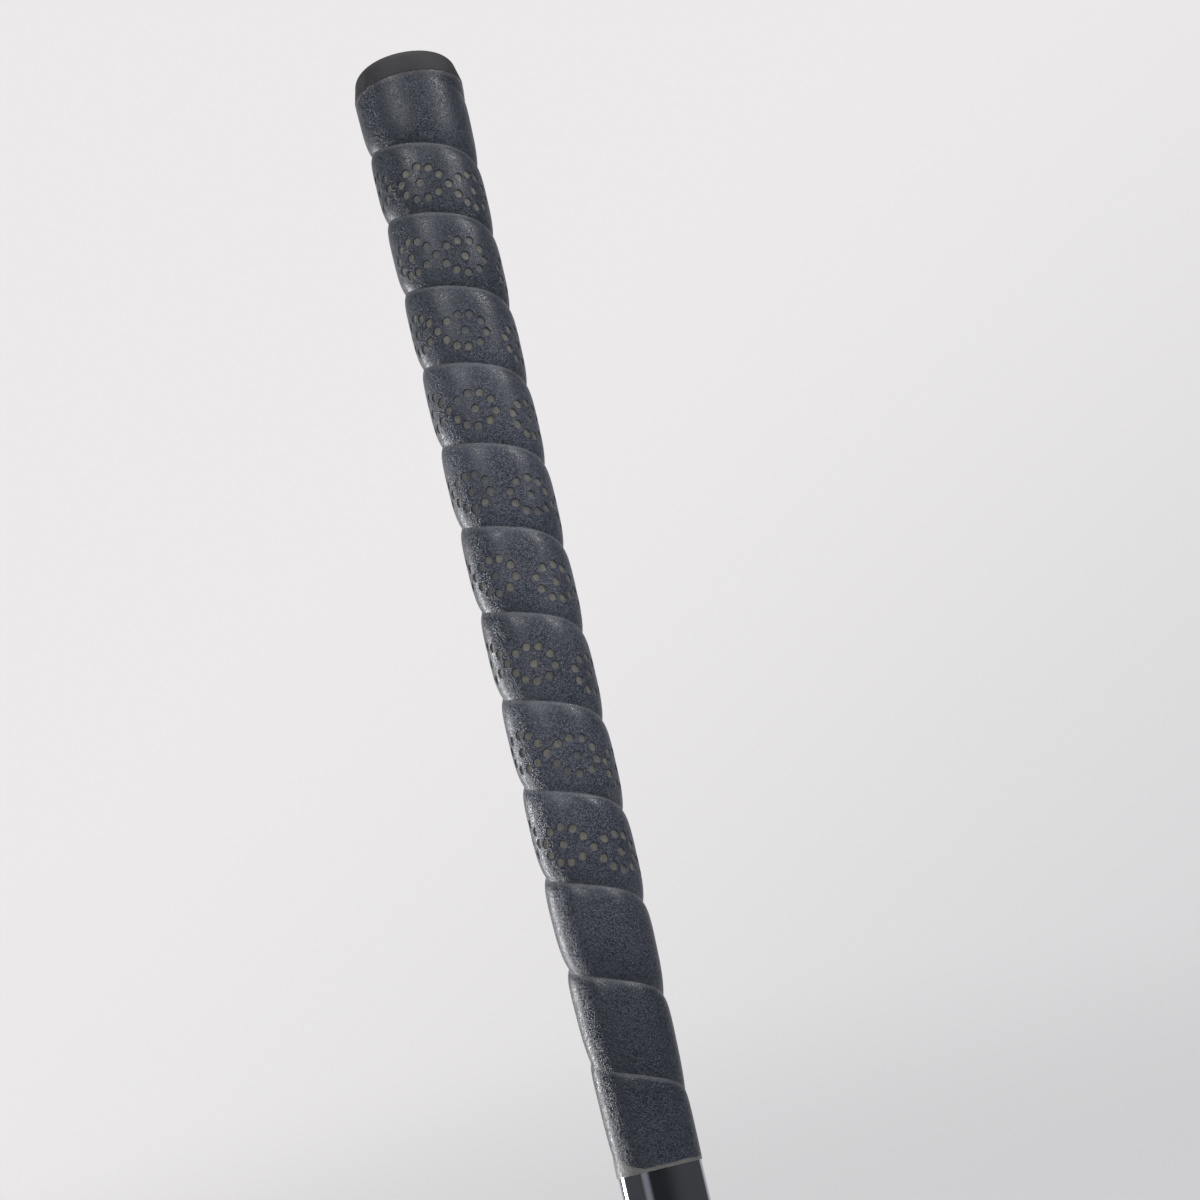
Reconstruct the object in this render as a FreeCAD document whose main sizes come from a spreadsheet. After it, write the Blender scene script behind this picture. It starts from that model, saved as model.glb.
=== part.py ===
import FreeCAD, Part
import math
import os

import Sketcher
from FreeCAD import Placement, Rotation, Vector

# A putter soled at address. The origin is the centre of the sole, +Z is up, the face looks along -Y,
# the toe is at -X and the heel at +X, where the shaft leans over by its lie.
# Lengths are in millimetres and angles in degrees.
SIZES = {
    # Whole club, along the shaft axis from the ground to the butt
    "club_length": 864,
    "lie_angle": 70,
    "shaft_reach": 22,
    "neck_offset": 7.5,
    "fit_gap": 0.03,
    "overrun": 2,
    # Shaft, a stepped tube
    "shaft_butt_diameter": 15.24,
    "shaft_tip_diameter": 9.4,
    "shaft_wall": 0.75,
    "tip_parallel": 190,
    "step_length": 45,
    "step_rise": 0.8,
    "step_count": 7,
    # Grip, with each wall measured over the shaft
    "grip_length": 219.5,
    "butt_wall": 3.25,
    "flare_wall": 2.8,
    "knee_wall": 1.35,
    "throat_wall": 0.4,
    "mouth_wall": 0.2,
    "flare_from_butt": 22,
    "knee_from_mouth": 49,
    "throat_from_mouth": 14,
    "tape_thickness": 0.2,
    "tape_from_mouth": 62,
    "tape_turn_angle": 352,
    # Wrap relief of the grip, one left-handed seam from the cap to the mouth
    "wrap_pitch": 16.54,
    "wrap_start": 21.3,
    "wrap_depth": 0.9,
    "wrap_crowding": 3.7,
    # Butt cap
    "cap_height": 5.7,
    "cap_dome_rise": 1,
    "cap_draw": 1.1,
    "cap_bevel": 1.1,
    "cap_plug_depth": 3,
    "vent_diameter": 2,
    # Offset neck
    "neck_diameter": 10,
    "neck_bend_radius": 11,
    "neck_rise": 8,
    "neck_top": 6,
    "collar_diameter": 11.4,
    "collar_height": 3.5,
    "spigot_length": 26,
    "tenon_diameter": 7,
    "tenon_web": 1,
    # Head
    "blade_length": 112,
    "head_depth": 27,
    "face_height": 24,
    "face_loft": 3,
    "topline_width": 10.5,
    "bumper_height": 17.5,
    "tail_height": 12.5,
    "flange_height": 7,
    "cavity_length": 58,
    "cavity_corner_radius": 4,
    "back_corner_radius": 11,
    "top_corner_radius": 6,
    "face_bevel": 0.8,
    "sole_bevel": 1,
    # Sight line on the flange
    "sight_width": 1.2,
    "sight_depth": 0.5,
    "sight_margin": 2,
    # Face insert and the pad behind it
    "insert_length": 74,
    "insert_height": 12.5,
    "insert_corner_radius": 5,
    "insert_thickness": 3.6,
    "insert_floor": 4.5,
    "groove_count": 7,
    "groove_pitch": 1.3,
    "groove_width": 0.5,
    "groove_depth": 0.2,
    "groove_margin": 6,
    "pad_thickness": 0.5,
    "pad_margin": 1,
    # Sole weights
    "weight_diameter": 12,
    "weight_thickness": 5,
    "weight_recess": 0.2,
    "weight_inset": 16,
    "weight_chamfer": 0.5,
    "socket_width": 4,
    "socket_depth": 2.6,
}

# The crowding of the seam leans toward the butt by this share.
CROWDING_SKEW_SHARE = 0.72
# Section of the wound strip from one seam to the next: shares of its width and of the seam's depth
STRIP_SECTION_SHARES = ((0.0, 1.0), (0.17, 0.1), (0.82, 0.15))
# The relief never fades below this share of its depth.
LEAST_DEPTH_SHARE = 0.1
POINTS_PER_TURN = 8
# Lengths are alike, and faces are sewn together, within these shares of the fit gap.
ALIKE_SHARE = 0.1
SEW_SHARE = 0.01
# Directions are alike when their cosine is within this share of one.
PARALLEL_SHARE = 1e-6
HEXAGON_SIDES = 6

doc = FreeCAD.newDocument("Putter")
sheet = doc.addObject("Spreadsheet::Sheet", "Sizes")
for row, (alias, number) in enumerate(SIZES.items(), start=1):
    sheet.set(f"A{row}", alias)
    sheet.set(f"B{row}", str(number))
    sheet.setAlias(f"B{row}", alias)
doc.recompute()


# Heights along the shaft axis, as sheet expressions
TOPLINE = "(Sizes.face_height / sin(Sizes.lie_angle * 1 deg))"
BEND_START = f"({TOPLINE} + Sizes.neck_rise)"
BEND_HEIGHT = "sqrt(4 * Sizes.neck_bend_radius * Sizes.neck_offset - Sizes.neck_offset ^ 2)"
SHOULDER = f"({BEND_START} + {BEND_HEIGHT} + Sizes.neck_top)"
CAP_SEAT = "(Sizes.club_length - Sizes.cap_height)"
SHAFT_TOP = f"({CAP_SEAT} - Sizes.cap_plug_depth)"
MOUTH = "(Sizes.club_length - Sizes.grip_length)"
TAPE_END = f"({MOUTH} + Sizes.tape_from_mouth)"

# Radii about the shaft axis
SHAFT_RADIUS = "(Sizes.shaft_butt_diameter / 2)"
TIP_RADIUS = "(Sizes.shaft_tip_diameter / 2)"
MOUTH_BORE = f"({SHAFT_RADIUS} + Sizes.fit_gap)"
TAPE_OUTER = f"({MOUTH_BORE} + Sizes.tape_thickness)"
GRIP_BORE = f"({TAPE_OUTER} + Sizes.fit_gap)"
BUTT_RADIUS = f"({MOUTH_BORE} + Sizes.butt_wall)"

# Places on the head
FACE_LEAN = "(Sizes.face_height * tan(Sizes.face_loft * 1 deg))"
TOPLINE_FRONT = f"({FACE_LEAN} - Sizes.head_depth / 2)"
TOPLINE_BACK = f"({TOPLINE_FRONT} + Sizes.topline_width)"
POST_PLACE = f"({TOPLINE_FRONT} + Sizes.topline_width / 2)"
WEIGHT_PLACE = "(Sizes.blade_length / 2 - Sizes.weight_inset)"
INSERT_DEPTH = "(Sizes.insert_thickness + Sizes.pad_thickness)"
INSERT_TOP = "(Sizes.insert_floor + Sizes.insert_height + Sizes.fit_gap)"

# The tenon stops above the insert's pocket, with a web of metal between them.
TENON_DEPTH = (f"((Sizes.face_height - {INSERT_TOP} - Sizes.tenon_web) / sin(Sizes.lie_angle * 1 deg)"
               " - Sizes.tenon_diameter / 2 / tan(Sizes.lie_angle * 1 deg))")


def value(expression):
    """The number that a sheet expression stands for."""
    result = sheet.evalExpression(expression)
    return float(getattr(result, "Value", result))


def on_shaft(thing, across="0", along="0"):
    """Stand a body or primitive on the shaft axis, shifted across it and up along it."""
    lean = 90 - value("Sizes.lie_angle")
    thing.Placement = Placement(Vector(), Rotation(Vector(0, 1, 0), lean))
    thing.setExpression("Placement.Rotation.Angle", "(90 - Sizes.lie_angle) * 1 deg")
    thing.setExpression("Placement.Base.x", f"Sizes.shaft_reach + ({along}) * cos(Sizes.lie_angle * 1 deg)")
    thing.setExpression("Placement.Base.y", f"{POST_PLACE} - Sizes.neck_offset + {across}")
    thing.setExpression("Placement.Base.z", f"({along}) * sin(Sizes.lie_angle * 1 deg)")
    return thing


def on_face(thing):
    """Stand a body on the leading edge, leaned back by the loft so that its XZ plane is the face."""
    thing.Placement = Placement(Vector(), Rotation(Vector(-1, 0, 0), value("Sizes.face_loft")))
    thing.setExpression("Placement.Rotation.Angle", "Sizes.face_loft * 1 deg")
    thing.setExpression("Placement.Base.y", "-Sizes.head_depth / 2")
    return thing


def new_body(name):
    """An empty body."""
    return doc.addObject("PartDesign::Body", name)


def new_sketch(body, plane, height="0"):
    """A sketch on one of the body's own origin planes, raised off it by height."""
    sketch = body.newObject("Sketcher::SketchObject", f"{body.Name}_sketch")
    support = [item for item in body.Origin.OriginFeatures if item.Role == plane][0]
    sketch.AttachmentSupport = (support, [""])
    sketch.MapMode = "FlatFace"
    sketch.setExpression("AttachmentOffset.Base.z", height)
    return sketch


def pin_point(sketch, line, end, place):
    """Hold one end of a line or arc at a pair of sheet expressions, across and up."""
    for kind, expression in zip(("DistanceX", "DistanceY"), place):
        number = sketch.addConstraint(Sketcher.Constraint(kind, -1, 1, line, end, value(expression)))
        sketch.setExpression(f"Constraints[{number}]", expression)


def outline(body, plane, corners, height="0"):
    """A sketch with one closed outline of straight sides through corners given as expressions."""
    sketch = new_sketch(body, plane, height)
    points = [Vector(value(across), value(up), 0) for across, up in corners]
    for start, end in zip(points, points[1:] + points[:1]):
        sketch.addGeometry(Part.LineSegment(start, end), False)
    for number in range(len(points)):
        following = (number + 1) % len(points)
        sketch.addConstraint(Sketcher.Constraint("Coincident", number, 2, following, 1))
        pin_point(sketch, number, 1, corners[number])
    return sketch


def circle(body, plane, centre, radius, height="0"):
    """A sketch with one circle."""
    sketch = new_sketch(body, plane, height)
    middle = Vector(value(centre[0]), value(centre[1]), 0)
    sketch.addGeometry(Part.Circle(middle, Vector(0, 0, 1), value(radius)), False)
    pin_point(sketch, 0, 3, centre)
    number = sketch.addConstraint(Sketcher.Constraint("Radius", 0, value(radius)))
    sketch.setExpression(f"Constraints[{number}]", radius)
    return sketch


def box_corners(low, high):
    """The four corners of an upright rectangle between two corners given as expressions."""
    return [low, (high[0], low[1]), high, (low[0], high[1])]


def pad(body, sketch, length, symmetric=False, reverse=False):
    """Extrude a sketch."""
    feature = body.newObject("PartDesign::Pad", f"{body.Name}_pad")
    feature.Profile = sketch
    feature.SideType = "Symmetric" if symmetric else "One side"
    feature.Reversed = reverse
    feature.setExpression("Length", length)
    return feature


def pocket(body, sketch, length, reverse=False):
    """Cut a sketch away."""
    feature = body.newObject("PartDesign::Pocket", f"{body.Name}_pocket")
    feature.Profile = sketch
    feature.Reversed = reverse
    feature.setExpression("Length", length)
    return feature


def revolve(body, corners, angle="360"):
    """Turn an outline, given as radius and height pairs, about the body's Z axis."""
    sketch = outline(body, "XZ_Plane", corners)
    feature = body.newObject("PartDesign::Revolution", f"{body.Name}_revolution")
    feature.Profile = sketch
    feature.ReferenceAxis = (sketch, ["V_Axis"])
    feature.setExpression("Angle", f"{angle} * 1 deg")
    return feature


def round_edges(body, radius, chosen, kind="Fillet", size="Radius"):
    """Round or bevel the edges of the body's tip that the test accepts."""
    doc.recompute()
    base = body.Tip
    names = [f"Edge{number}" for number, edge in enumerate(base.Shape.Edges, start=1) if chosen(edge)]
    feature = body.newObject(f"PartDesign::{kind}", f"{body.Name}_{kind}")
    feature.Base = (base, names)
    feature.setExpression(size, radius)
    return feature


def is_near(first, second):
    """Whether two lengths agree to well within the fit gap."""
    return abs(first - second) < value("Sizes.fit_gap") * ALIKE_SHARE


def spans(edge, direction):
    """Whether an edge is straight and runs along an axis."""
    if edge.Curve.TypeId != "Part::GeomLine":
        return False
    return abs(abs(edge.Curve.Direction.dot(direction)) - 1) < PARALLEL_SHARE


def cylinder(name, radius, height):
    """A round primitive."""
    thing = doc.addObject("Part::Cylinder", name)
    thing.setExpression("Radius", radius)
    thing.setExpression("Height", height)
    return thing


def box(name, low, high):
    """A box between two corners given as expressions."""
    thing = doc.addObject("Part::Box", name)
    for axis, side, start, end in zip("xyz", ("Length", "Width", "Height"), low, high):
        thing.setExpression(side, f"({end}) - ({start})")
        thing.setExpression(f"Placement.Base.{axis}", start)
    return thing


def cut(name, base, tools):
    """Take one or more tools away from a base."""
    tool = tools[0]
    if len(tools) > 1:
        tool = doc.addObject("Part::MultiFuse", f"{name}_tools")
        tool.Shapes = tools
    feature = doc.addObject("Part::Cut", name)
    feature.Base = base
    feature.Tool = tool
    return feature


# Stepped steel tube
def make_shaft():
    body = on_shaft(new_body("shaft_body"))
    rise = "((Sizes.shaft_butt_diameter - Sizes.shaft_tip_diameter) / 2 / Sizes.step_count)"
    steps = int(value("Sizes.step_count"))
    steps_start = f"({SHOULDER} + Sizes.tip_parallel)"
    outside = [(TIP_RADIUS, SHOULDER)]
    for step in range(steps):
        foot = f"{steps_start} + {step} * Sizes.step_length"
        outside.append((f"{TIP_RADIUS} + {step} * {rise}", foot))
        outside.append((f"{TIP_RADIUS} + {step + 1} * {rise}", f"{foot} + Sizes.step_rise"))
    outside.append((SHAFT_RADIUS, SHAFT_TOP))
    bore = [(f"{radius} - Sizes.shaft_wall", height) for radius, height in reversed(outside)]
    revolve(body, outside + bore)
    return body


# Double-sided tape, one strip laid lengthwise with a narrow slit where its edges meet
def make_tape():
    body = on_shaft(new_body("tape_body"))
    revolve(body, box_corners((MOUTH_BORE, TAPE_END), (TAPE_OUTER, SHAFT_TOP)), "Sizes.tape_turn_angle")
    return body


# Moulded cap: a low dome with a drawn-in side and a bevelled rim, a plug in the sleeve and a vent hole
def make_cap():
    body = on_shaft(new_body("cap_body"))
    vent = "Sizes.vent_diameter / 2"
    rim = f"{BUTT_RADIUS} - Sizes.cap_draw"
    rim_height = "Sizes.club_length - Sizes.cap_dome_rise"
    plug = f"{GRIP_BORE} - Sizes.fit_gap"
    revolve(body, [(vent, SHAFT_TOP), (plug, SHAFT_TOP), (plug, CAP_SEAT), (BUTT_RADIUS, CAP_SEAT),
                   (rim, f"{rim_height} - Sizes.cap_bevel"), (f"{rim} - Sizes.cap_bevel", rim_height),
                   (vent, "Sizes.club_length")])
    return body


# Taper of the sleeve: distance from the butt and wall over the shaft, where its slope changes
SLEEVE_STATIONS = [
    (value("Sizes.cap_height"), value("Sizes.butt_wall")),
    (value("Sizes.flare_from_butt"), value("Sizes.flare_wall")),
    (value("Sizes.grip_length - Sizes.knee_from_mouth"), value("Sizes.knee_wall")),
    (value("Sizes.grip_length - Sizes.throat_from_mouth"), value("Sizes.throat_wall")),
    (value("Sizes.grip_length"), value("Sizes.mouth_wall")),
]
WRAP_TURNS = value("(Sizes.grip_length - Sizes.wrap_start) / Sizes.wrap_pitch")


def wall_at(distance):
    """The sleeve's wall over the shaft at a distance from the butt."""
    if distance <= SLEEVE_STATIONS[0][0]:
        return SLEEVE_STATIONS[0][1]
    for (start, wall), (end, next_wall) in zip(SLEEVE_STATIONS, SLEEVE_STATIONS[1:]):
        if distance <= end:
            return wall + (next_wall - wall) * (distance - start) / (end - start)
    return SLEEVE_STATIONS[-1][1]


def seam_distance(turn):
    """Distance of the seam from the butt after a number of turns from its start."""
    share = turn / WRAP_TURNS
    lean = 1 + CROWDING_SKEW_SHARE * (1 - 2 * share)
    crowding = 4 * value("Sizes.wrap_crowding") * share * (1 - share) * lean
    return value("Sizes.wrap_start") + value("Sizes.wrap_pitch") * turn - crowding


def wrap_point(turn, width_share, depth_share):
    """A point on the wrapped strip: turns along it, share of its width and share of its depth."""
    start = seam_distance(turn)
    distance = start + width_share * (seam_distance(turn + 1) - start)
    rubber = wall_at(distance) - value("Sizes.tape_thickness")
    depth = min(value("Sizes.wrap_depth"), LEAST_DEPTH_SHARE * value("Sizes.wrap_depth") + rubber / 2)
    radius = value(MOUTH_BORE) + wall_at(distance) - depth_share * max(depth, 0)
    angle = math.pi + 2 * math.pi * turn
    return Vector(radius * math.cos(angle), radius * math.sin(angle), value("Sizes.club_length") - distance)


def spline(points):
    """A smooth curve through points at even steps."""
    curve = Part.BSplineCurve()
    curve.interpolate(Points=points, Parameters=[number / POINTS_PER_TURN for number in range(len(points))])
    return curve


def turn_curve(turn, rung):
    """One turn of the helical edge at one rung of the strip's section."""
    if rung == len(STRIP_SECTION_SHARES):
        return turn_curve(turn + 1, 0)
    places = [turn + step / POINTS_PER_TURN for step in range(POINTS_PER_TURN + 1)]
    return spline([wrap_point(place, *STRIP_SECTION_SHARES[rung]) for place in places])


def ruled_face(one, other):
    """The face of straight lines between two curves of like knots."""
    surface = Part.BSplineSurface()
    surface.buildFromPolesMultsKnots([one.getPoles(), other.getPoles()], [2, 2], one.getMultiplicities(),
                                     [0, 1], one.getKnots(), False, False, 1, one.Degree)
    return surface.toShape()


# Helical body whose outside is the wound strip, solid to the shaft axis and longer than the sleeve
def make_wrap_body():
    first = math.floor(-value("Sizes.wrap_start / Sizes.wrap_pitch"))
    last = math.ceil(WRAP_TURNS) + 1
    rungs = range(len(STRIP_SECTION_SHARES))
    faces = [ruled_face(turn_curve(turn, rung), turn_curve(turn, rung + 1))
             for turn in range(first, last) for rung in rungs]
    for turn in (first, last):
        edge = turn_curve(turn, 0)
        places = [turn + step / POINTS_PER_TURN for step in range(POINTS_PER_TURN + 1)]
        core = [Vector(0, 0, wrap_point(place, *STRIP_SECTION_SHARES[0]).z) for place in places]
        faces.append(ruled_face(edge, spline(core)))
        section = [wrap_point(turn, *shares) for shares in STRIP_SECTION_SHARES]
        section.append(wrap_point(turn + 1, *STRIP_SECTION_SHARES[0]))
        faces.append(Part.Face(Part.makePolygon([core[0], *section, core[-1], core[0]])))
    skin = Part.Compound(faces)
    skin.sewShape(value("Sizes.fit_gap") * SEW_SHARE)
    solid = Part.Solid(skin.Shells[0])
    if solid.Volume < 0:
        solid.reverse()
    wrap = doc.addObject("Part::Feature", "wrap_body")
    wrap.Shape = solid
    return on_shaft(wrap)


# One moulded rubber sleeve: a stepped bore inside and the wound strip's relief outside
def make_sleeve():
    tube = on_shaft(new_body("sleeve_tube"))
    outside = f"{BUTT_RADIUS} + Sizes.overrun"
    revolve(tube, [(outside, CAP_SEAT), (outside, MOUTH), (MOUTH_BORE, MOUTH), (MOUTH_BORE, TAPE_END),
                   (GRIP_BORE, TAPE_END), (GRIP_BORE, CAP_SEAT)])
    feature = doc.addObject("Part::Common", "grip_sleeve")
    feature.Base = tube
    feature.Tool = make_wrap_body()
    return feature


def bend_ends(sketch, number, start):
    """Which ends of an arc are its first and last along the path, as Sketcher counts them."""
    first = sketch.getPoint(number, 1)
    return (1, 2) if first.distanceToPoint(start) < sketch.getPoint(number, 2).distanceToPoint(start) else (2, 1)


# Offset neck: a round bar with two bends, a collar and spigot for the shaft, and a tenon for the head
def make_neck():
    body = on_shaft(new_body("neck_body"))
    bar_start = f"({TOPLINE} - Sizes.neck_diameter)"
    bar_end = f"({SHOULDER} - Sizes.collar_height)"
    radius = value("Sizes.neck_bend_radius")
    offset = value("Sizes.neck_offset")
    low = value(BEND_START)
    middle = low + value(BEND_HEIGHT) / 2
    high = low + value(BEND_HEIGHT)
    turn = math.acos(1 - offset / (2 * radius))
    corner = [Vector(offset, value(bar_start), 0), Vector(offset, low, 0),
              Vector(offset / 2, middle, 0), Vector(0, high, 0), Vector(0, value(bar_end), 0)]
    lower = Vector(offset - radius * (1 - math.cos(turn / 2)), low + radius * math.sin(turn / 2), 0)
    upper = Vector(radius * (1 - math.cos(turn / 2)), high - radius * math.sin(turn / 2), 0)
    path = new_sketch(body, "YZ_Plane")
    path.addGeometry(Part.LineSegment(corner[0], corner[1]), False)
    path.addGeometry(Part.Arc(corner[1], lower, corner[2]), False)
    path.addGeometry(Part.Arc(corner[2], upper, corner[3]), False)
    path.addGeometry(Part.LineSegment(corner[3], corner[4]), False)
    places = [("Sizes.neck_offset", bar_start), ("Sizes.neck_offset", BEND_START),
              ("Sizes.neck_offset / 2", f"{BEND_START} + {BEND_HEIGHT} / 2"),
              ("0", f"{BEND_START} + {BEND_HEIGHT}"), ("0", bar_end)]
    ends = [(0, 1), (0, 2), None, (3, 1), (3, 2)]
    for (line, end), place in [(item, place) for item, place in zip(ends, places) if item]:
        pin_point(path, line, end, place)
    for number in (1, 2):
        constraint = path.addConstraint(Sketcher.Constraint("Radius", number, radius))
        path.setExpression(f"Constraints[{constraint}]", "Sizes.neck_bend_radius")
    arc_ends = {1: bend_ends(path, 1, corner[1]), 2: bend_ends(path, 2, corner[2])}
    path.addConstraint(Sketcher.Constraint("Coincident", 0, 2, 1, arc_ends[1][0]))
    path.addConstraint(Sketcher.Constraint("Coincident", 1, arc_ends[1][1], 2, arc_ends[2][0]))
    path.addConstraint(Sketcher.Constraint("Coincident", 2, arc_ends[2][1], 3, 1))
    pin_point(path, 1, arc_ends[1][1], places[2])
    section = circle(body, "XY_Plane", ("0", "Sizes.neck_offset"), "Sizes.neck_diameter / 2", bar_start)
    pipe = body.newObject("PartDesign::AdditivePipe", "neck_pipe")
    pipe.Profile = section
    pipe.Spine = (path, ["Edge1", "Edge2", "Edge3", "Edge4"])
    collar = "Sizes.collar_diameter / 2"
    spigot = f"{TIP_RADIUS} - Sizes.shaft_wall - Sizes.fit_gap"
    top = f"{SHOULDER} + Sizes.spigot_length"
    revolve(body, [("0", bar_end), (collar, bar_end), (collar, SHOULDER), (spigot, SHOULDER), (spigot, top),
                   ("0", top)])
    below = box("below_topline", ("-Sizes.blade_length", "-Sizes.head_depth", "-Sizes.overrun"),
                ("Sizes.blade_length", "Sizes.head_depth", "Sizes.face_height"))
    bar = cut("neck_bar", body, [below])
    tenon = cylinder("neck_tenon", "Sizes.tenon_diameter / 2", f"{TENON_DEPTH} + Sizes.neck_diameter / 2")
    on_shaft(tenon, "Sizes.neck_offset", f"{TOPLINE} - {TENON_DEPTH}")
    feature = doc.addObject("Part::Fuse", "hosel_neck")
    feature.Base = bar
    feature.Tool = tenon
    return feature


def face_plate(name, margin, near, far):
    """A rounded plate let into the face, drawn in from the insert's outline by margin, between two depths."""
    body = on_face(new_body(name))
    half = f"(Sizes.insert_length / 2 - ({margin}))"
    low = f"Sizes.insert_floor + ({margin})"
    high = f"Sizes.insert_floor + Sizes.insert_height - ({margin})"
    sketch = outline(body, "XZ_Plane", box_corners((f"-{half}", low), (half, high)), f"-({far})")
    pad(body, sketch, f"({far}) - ({near})")
    upright = Vector(0, 1, 0)
    round_edges(body, f"Sizes.insert_corner_radius - ({margin})", lambda edge: spans(edge, upright))
    return body


# Milled insert: a row of shallow grooves along its face
def make_insert():
    body = face_plate("insert_body", "0", "0", "Sizes.insert_thickness")
    half = "(Sizes.insert_length / 2 - Sizes.groove_margin)"
    middle = "(Sizes.insert_floor + Sizes.insert_height / 2)"
    row_height = "((Sizes.groove_count - 1) * Sizes.groove_pitch)"
    low = f"{middle} - {row_height} / 2 - Sizes.groove_width / 2"
    corners = box_corners((f"-{half}", low), (half, f"{low} + Sizes.groove_width"))
    groove = pocket(body, outline(body, "XZ_Plane", corners), "Sizes.groove_depth")
    row = body.newObject("PartDesign::LinearPattern", "insert_grooves")
    row.Originals = [groove]
    row.Direction = (groove.Profile[0], ["V_Axis"])
    row.setExpression("Length", row_height)
    row.setExpression("Occurrences", "Sizes.groove_count")
    body.Tip = row
    return body


def make_sole_weight(name, side):
    """A round weight with a bevelled rim and a hexagon socket, seated in its port in the sole."""
    body = new_body(name)
    body.setExpression("Placement.Base.x", f"{side} * {WEIGHT_PLACE}")
    body.setExpression("Placement.Base.z", "Sizes.weight_recess")
    rim = circle(body, "XY_Plane", ("0", "0"), "Sizes.weight_diameter / 2")
    pad(body, rim, "Sizes.weight_thickness")

    def is_outer_rim(edge):
        return edge.Curve.TypeId == "Part::GeomCircle" and is_near(edge.Curve.Center.z, 0)

    round_edges(body, "Sizes.weight_chamfer", is_outer_rim, "Chamfer", "Size")
    reach = "(Sizes.socket_width / sqrt(3))"
    angles = [f"({number} * 360 / {HEXAGON_SIDES} * 1 deg)" for number in range(HEXAGON_SIDES)]
    corners = [(f"{reach} * cos({angle})", f"{reach} * sin({angle})") for angle in angles]
    pocket(body, outline(body, "XY_Plane", corners), "Sizes.socket_depth", reverse=True)
    return body


# Heel and toe weighted blade with a lofted face, a sloping back, a cavity and a sighted flange
def make_head():
    body = new_body("head_blank")
    back = "Sizes.head_depth / 2"
    side = [("-Sizes.head_depth / 2", "0"), (TOPLINE_FRONT, "Sizes.face_height"),
            (TOPLINE_BACK, "Sizes.face_height"), (TOPLINE_BACK, "Sizes.bumper_height"),
            (back, "Sizes.tail_height"), (back, "0")]
    pad(body, outline(body, "YZ_Plane", side), "Sizes.blade_length", symmetric=True)
    cavity = box_corners(("-Sizes.cavity_length / 2", TOPLINE_BACK),
                         ("Sizes.cavity_length / 2", f"{back} + Sizes.overrun"))
    pocket(body, outline(body, "XY_Plane", cavity, "Sizes.flange_height"), "Sizes.face_height", reverse=True)
    upright = Vector(0, 0, 1)
    blade_end = value("Sizes.blade_length / 2")
    half_depth = value(back)
    half_cavity = value("Sizes.cavity_length / 2")
    topline = value("Sizes.face_height")
    loft = math.radians(value("Sizes.face_loft"))
    leaning = Vector(0, math.sin(loft), math.cos(loft))

    def is_back_corner(edge):
        middle = edge.CenterOfMass
        return spans(edge, upright) and is_near(abs(middle.x), blade_end) and is_near(middle.y, half_depth)

    def is_cavity_corner(edge):
        middle = edge.CenterOfMass
        return spans(edge, upright) and is_near(abs(middle.x), half_cavity) and middle.y < 0

    def is_top_corner(edge):
        middle = edge.CenterOfMass
        return spans(edge, Vector(0, 1, 0)) and is_near(abs(middle.x), blade_end) and is_near(middle.z, topline)

    def is_face_edge(edge):
        return spans(edge, leaning) and is_near(abs(edge.CenterOfMass.x), blade_end)

    def is_sole_edge(edge):
        return spans(edge, Vector(1, 0, 0)) and is_near(edge.CenterOfMass.z, 0) and edge.CenterOfMass.y < 0

    round_edges(body, "Sizes.back_corner_radius", is_back_corner)
    round_edges(body, "Sizes.top_corner_radius", is_top_corner)
    round_edges(body, "Sizes.cavity_corner_radius", is_cavity_corner)
    round_edges(body, "Sizes.face_bevel", is_face_edge, "Chamfer", "Size")
    round_edges(body, "Sizes.sole_bevel", is_sole_edge, "Chamfer", "Size")
    tools = [face_plate("insert_pocket", "-Sizes.fit_gap", "-Sizes.overrun", INSERT_DEPTH)]
    for name, sign in (("heel_port", "1"), ("toe_port", "-1")):
        port = cylinder(name, "Sizes.weight_diameter / 2 + Sizes.fit_gap",
                        "Sizes.overrun + Sizes.weight_recess + Sizes.weight_thickness")
        port.setExpression("Placement.Base.x", f"{sign} * {WEIGHT_PLACE}")
        port.setExpression("Placement.Base.z", "-Sizes.overrun")
        tools.append(port)
    tools.append(box("sight_groove",
                     ("-Sizes.sight_width / 2", f"{TOPLINE_BACK} + Sizes.sight_margin",
                      "Sizes.flange_height - Sizes.sight_depth"),
                     ("Sizes.sight_width / 2", f"{back} - Sizes.sight_margin",
                      "Sizes.flange_height + Sizes.overrun")))
    bore = cylinder("tenon_bore", "Sizes.tenon_diameter / 2 + Sizes.fit_gap",
                    f"{TENON_DEPTH} + Sizes.neck_diameter / 2")
    tools.append(on_shaft(bore, "Sizes.neck_offset", f"{TOPLINE} - {TENON_DEPTH}"))
    return cut("head_body", body, tools)


parts = {
    "butt_cap": make_cap(),
    "grip_sleeve": make_sleeve(),
    "grip_tape": make_tape(),
    "shaft": make_shaft(),
    "hosel_neck": make_neck(),
    "head_body": make_head(),
    "face_insert": make_insert(),
    "insert_pad": face_plate("pad_body", "Sizes.pad_margin", "Sizes.insert_thickness", INSERT_DEPTH),
    "sole_weight_heel": make_sole_weight("heel_weight_body", "1"),
    "sole_weight_toe": make_sole_weight("toe_weight_body", "-1"),
}
doc.recompute()

for item in doc.Objects:
    if {"Invalid", "Error"} & set(item.State):
        raise RuntimeError(f"{item.Name} failed: {item.State}")

os.makedirs("parts", exist_ok=True)
for label, item in parts.items():
    item.Label = label
    shape = item.Shape
    if shape.isNull() or not shape.isValid():
        raise RuntimeError(f"{label} has no valid shape")
    shape.exportStep(f"parts/{label}.step")
    print(f"{label}: {len(shape.Solids)} solid, {shape.Volume:.1f} mm3, {len(shape.Faces)} faces")
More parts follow.
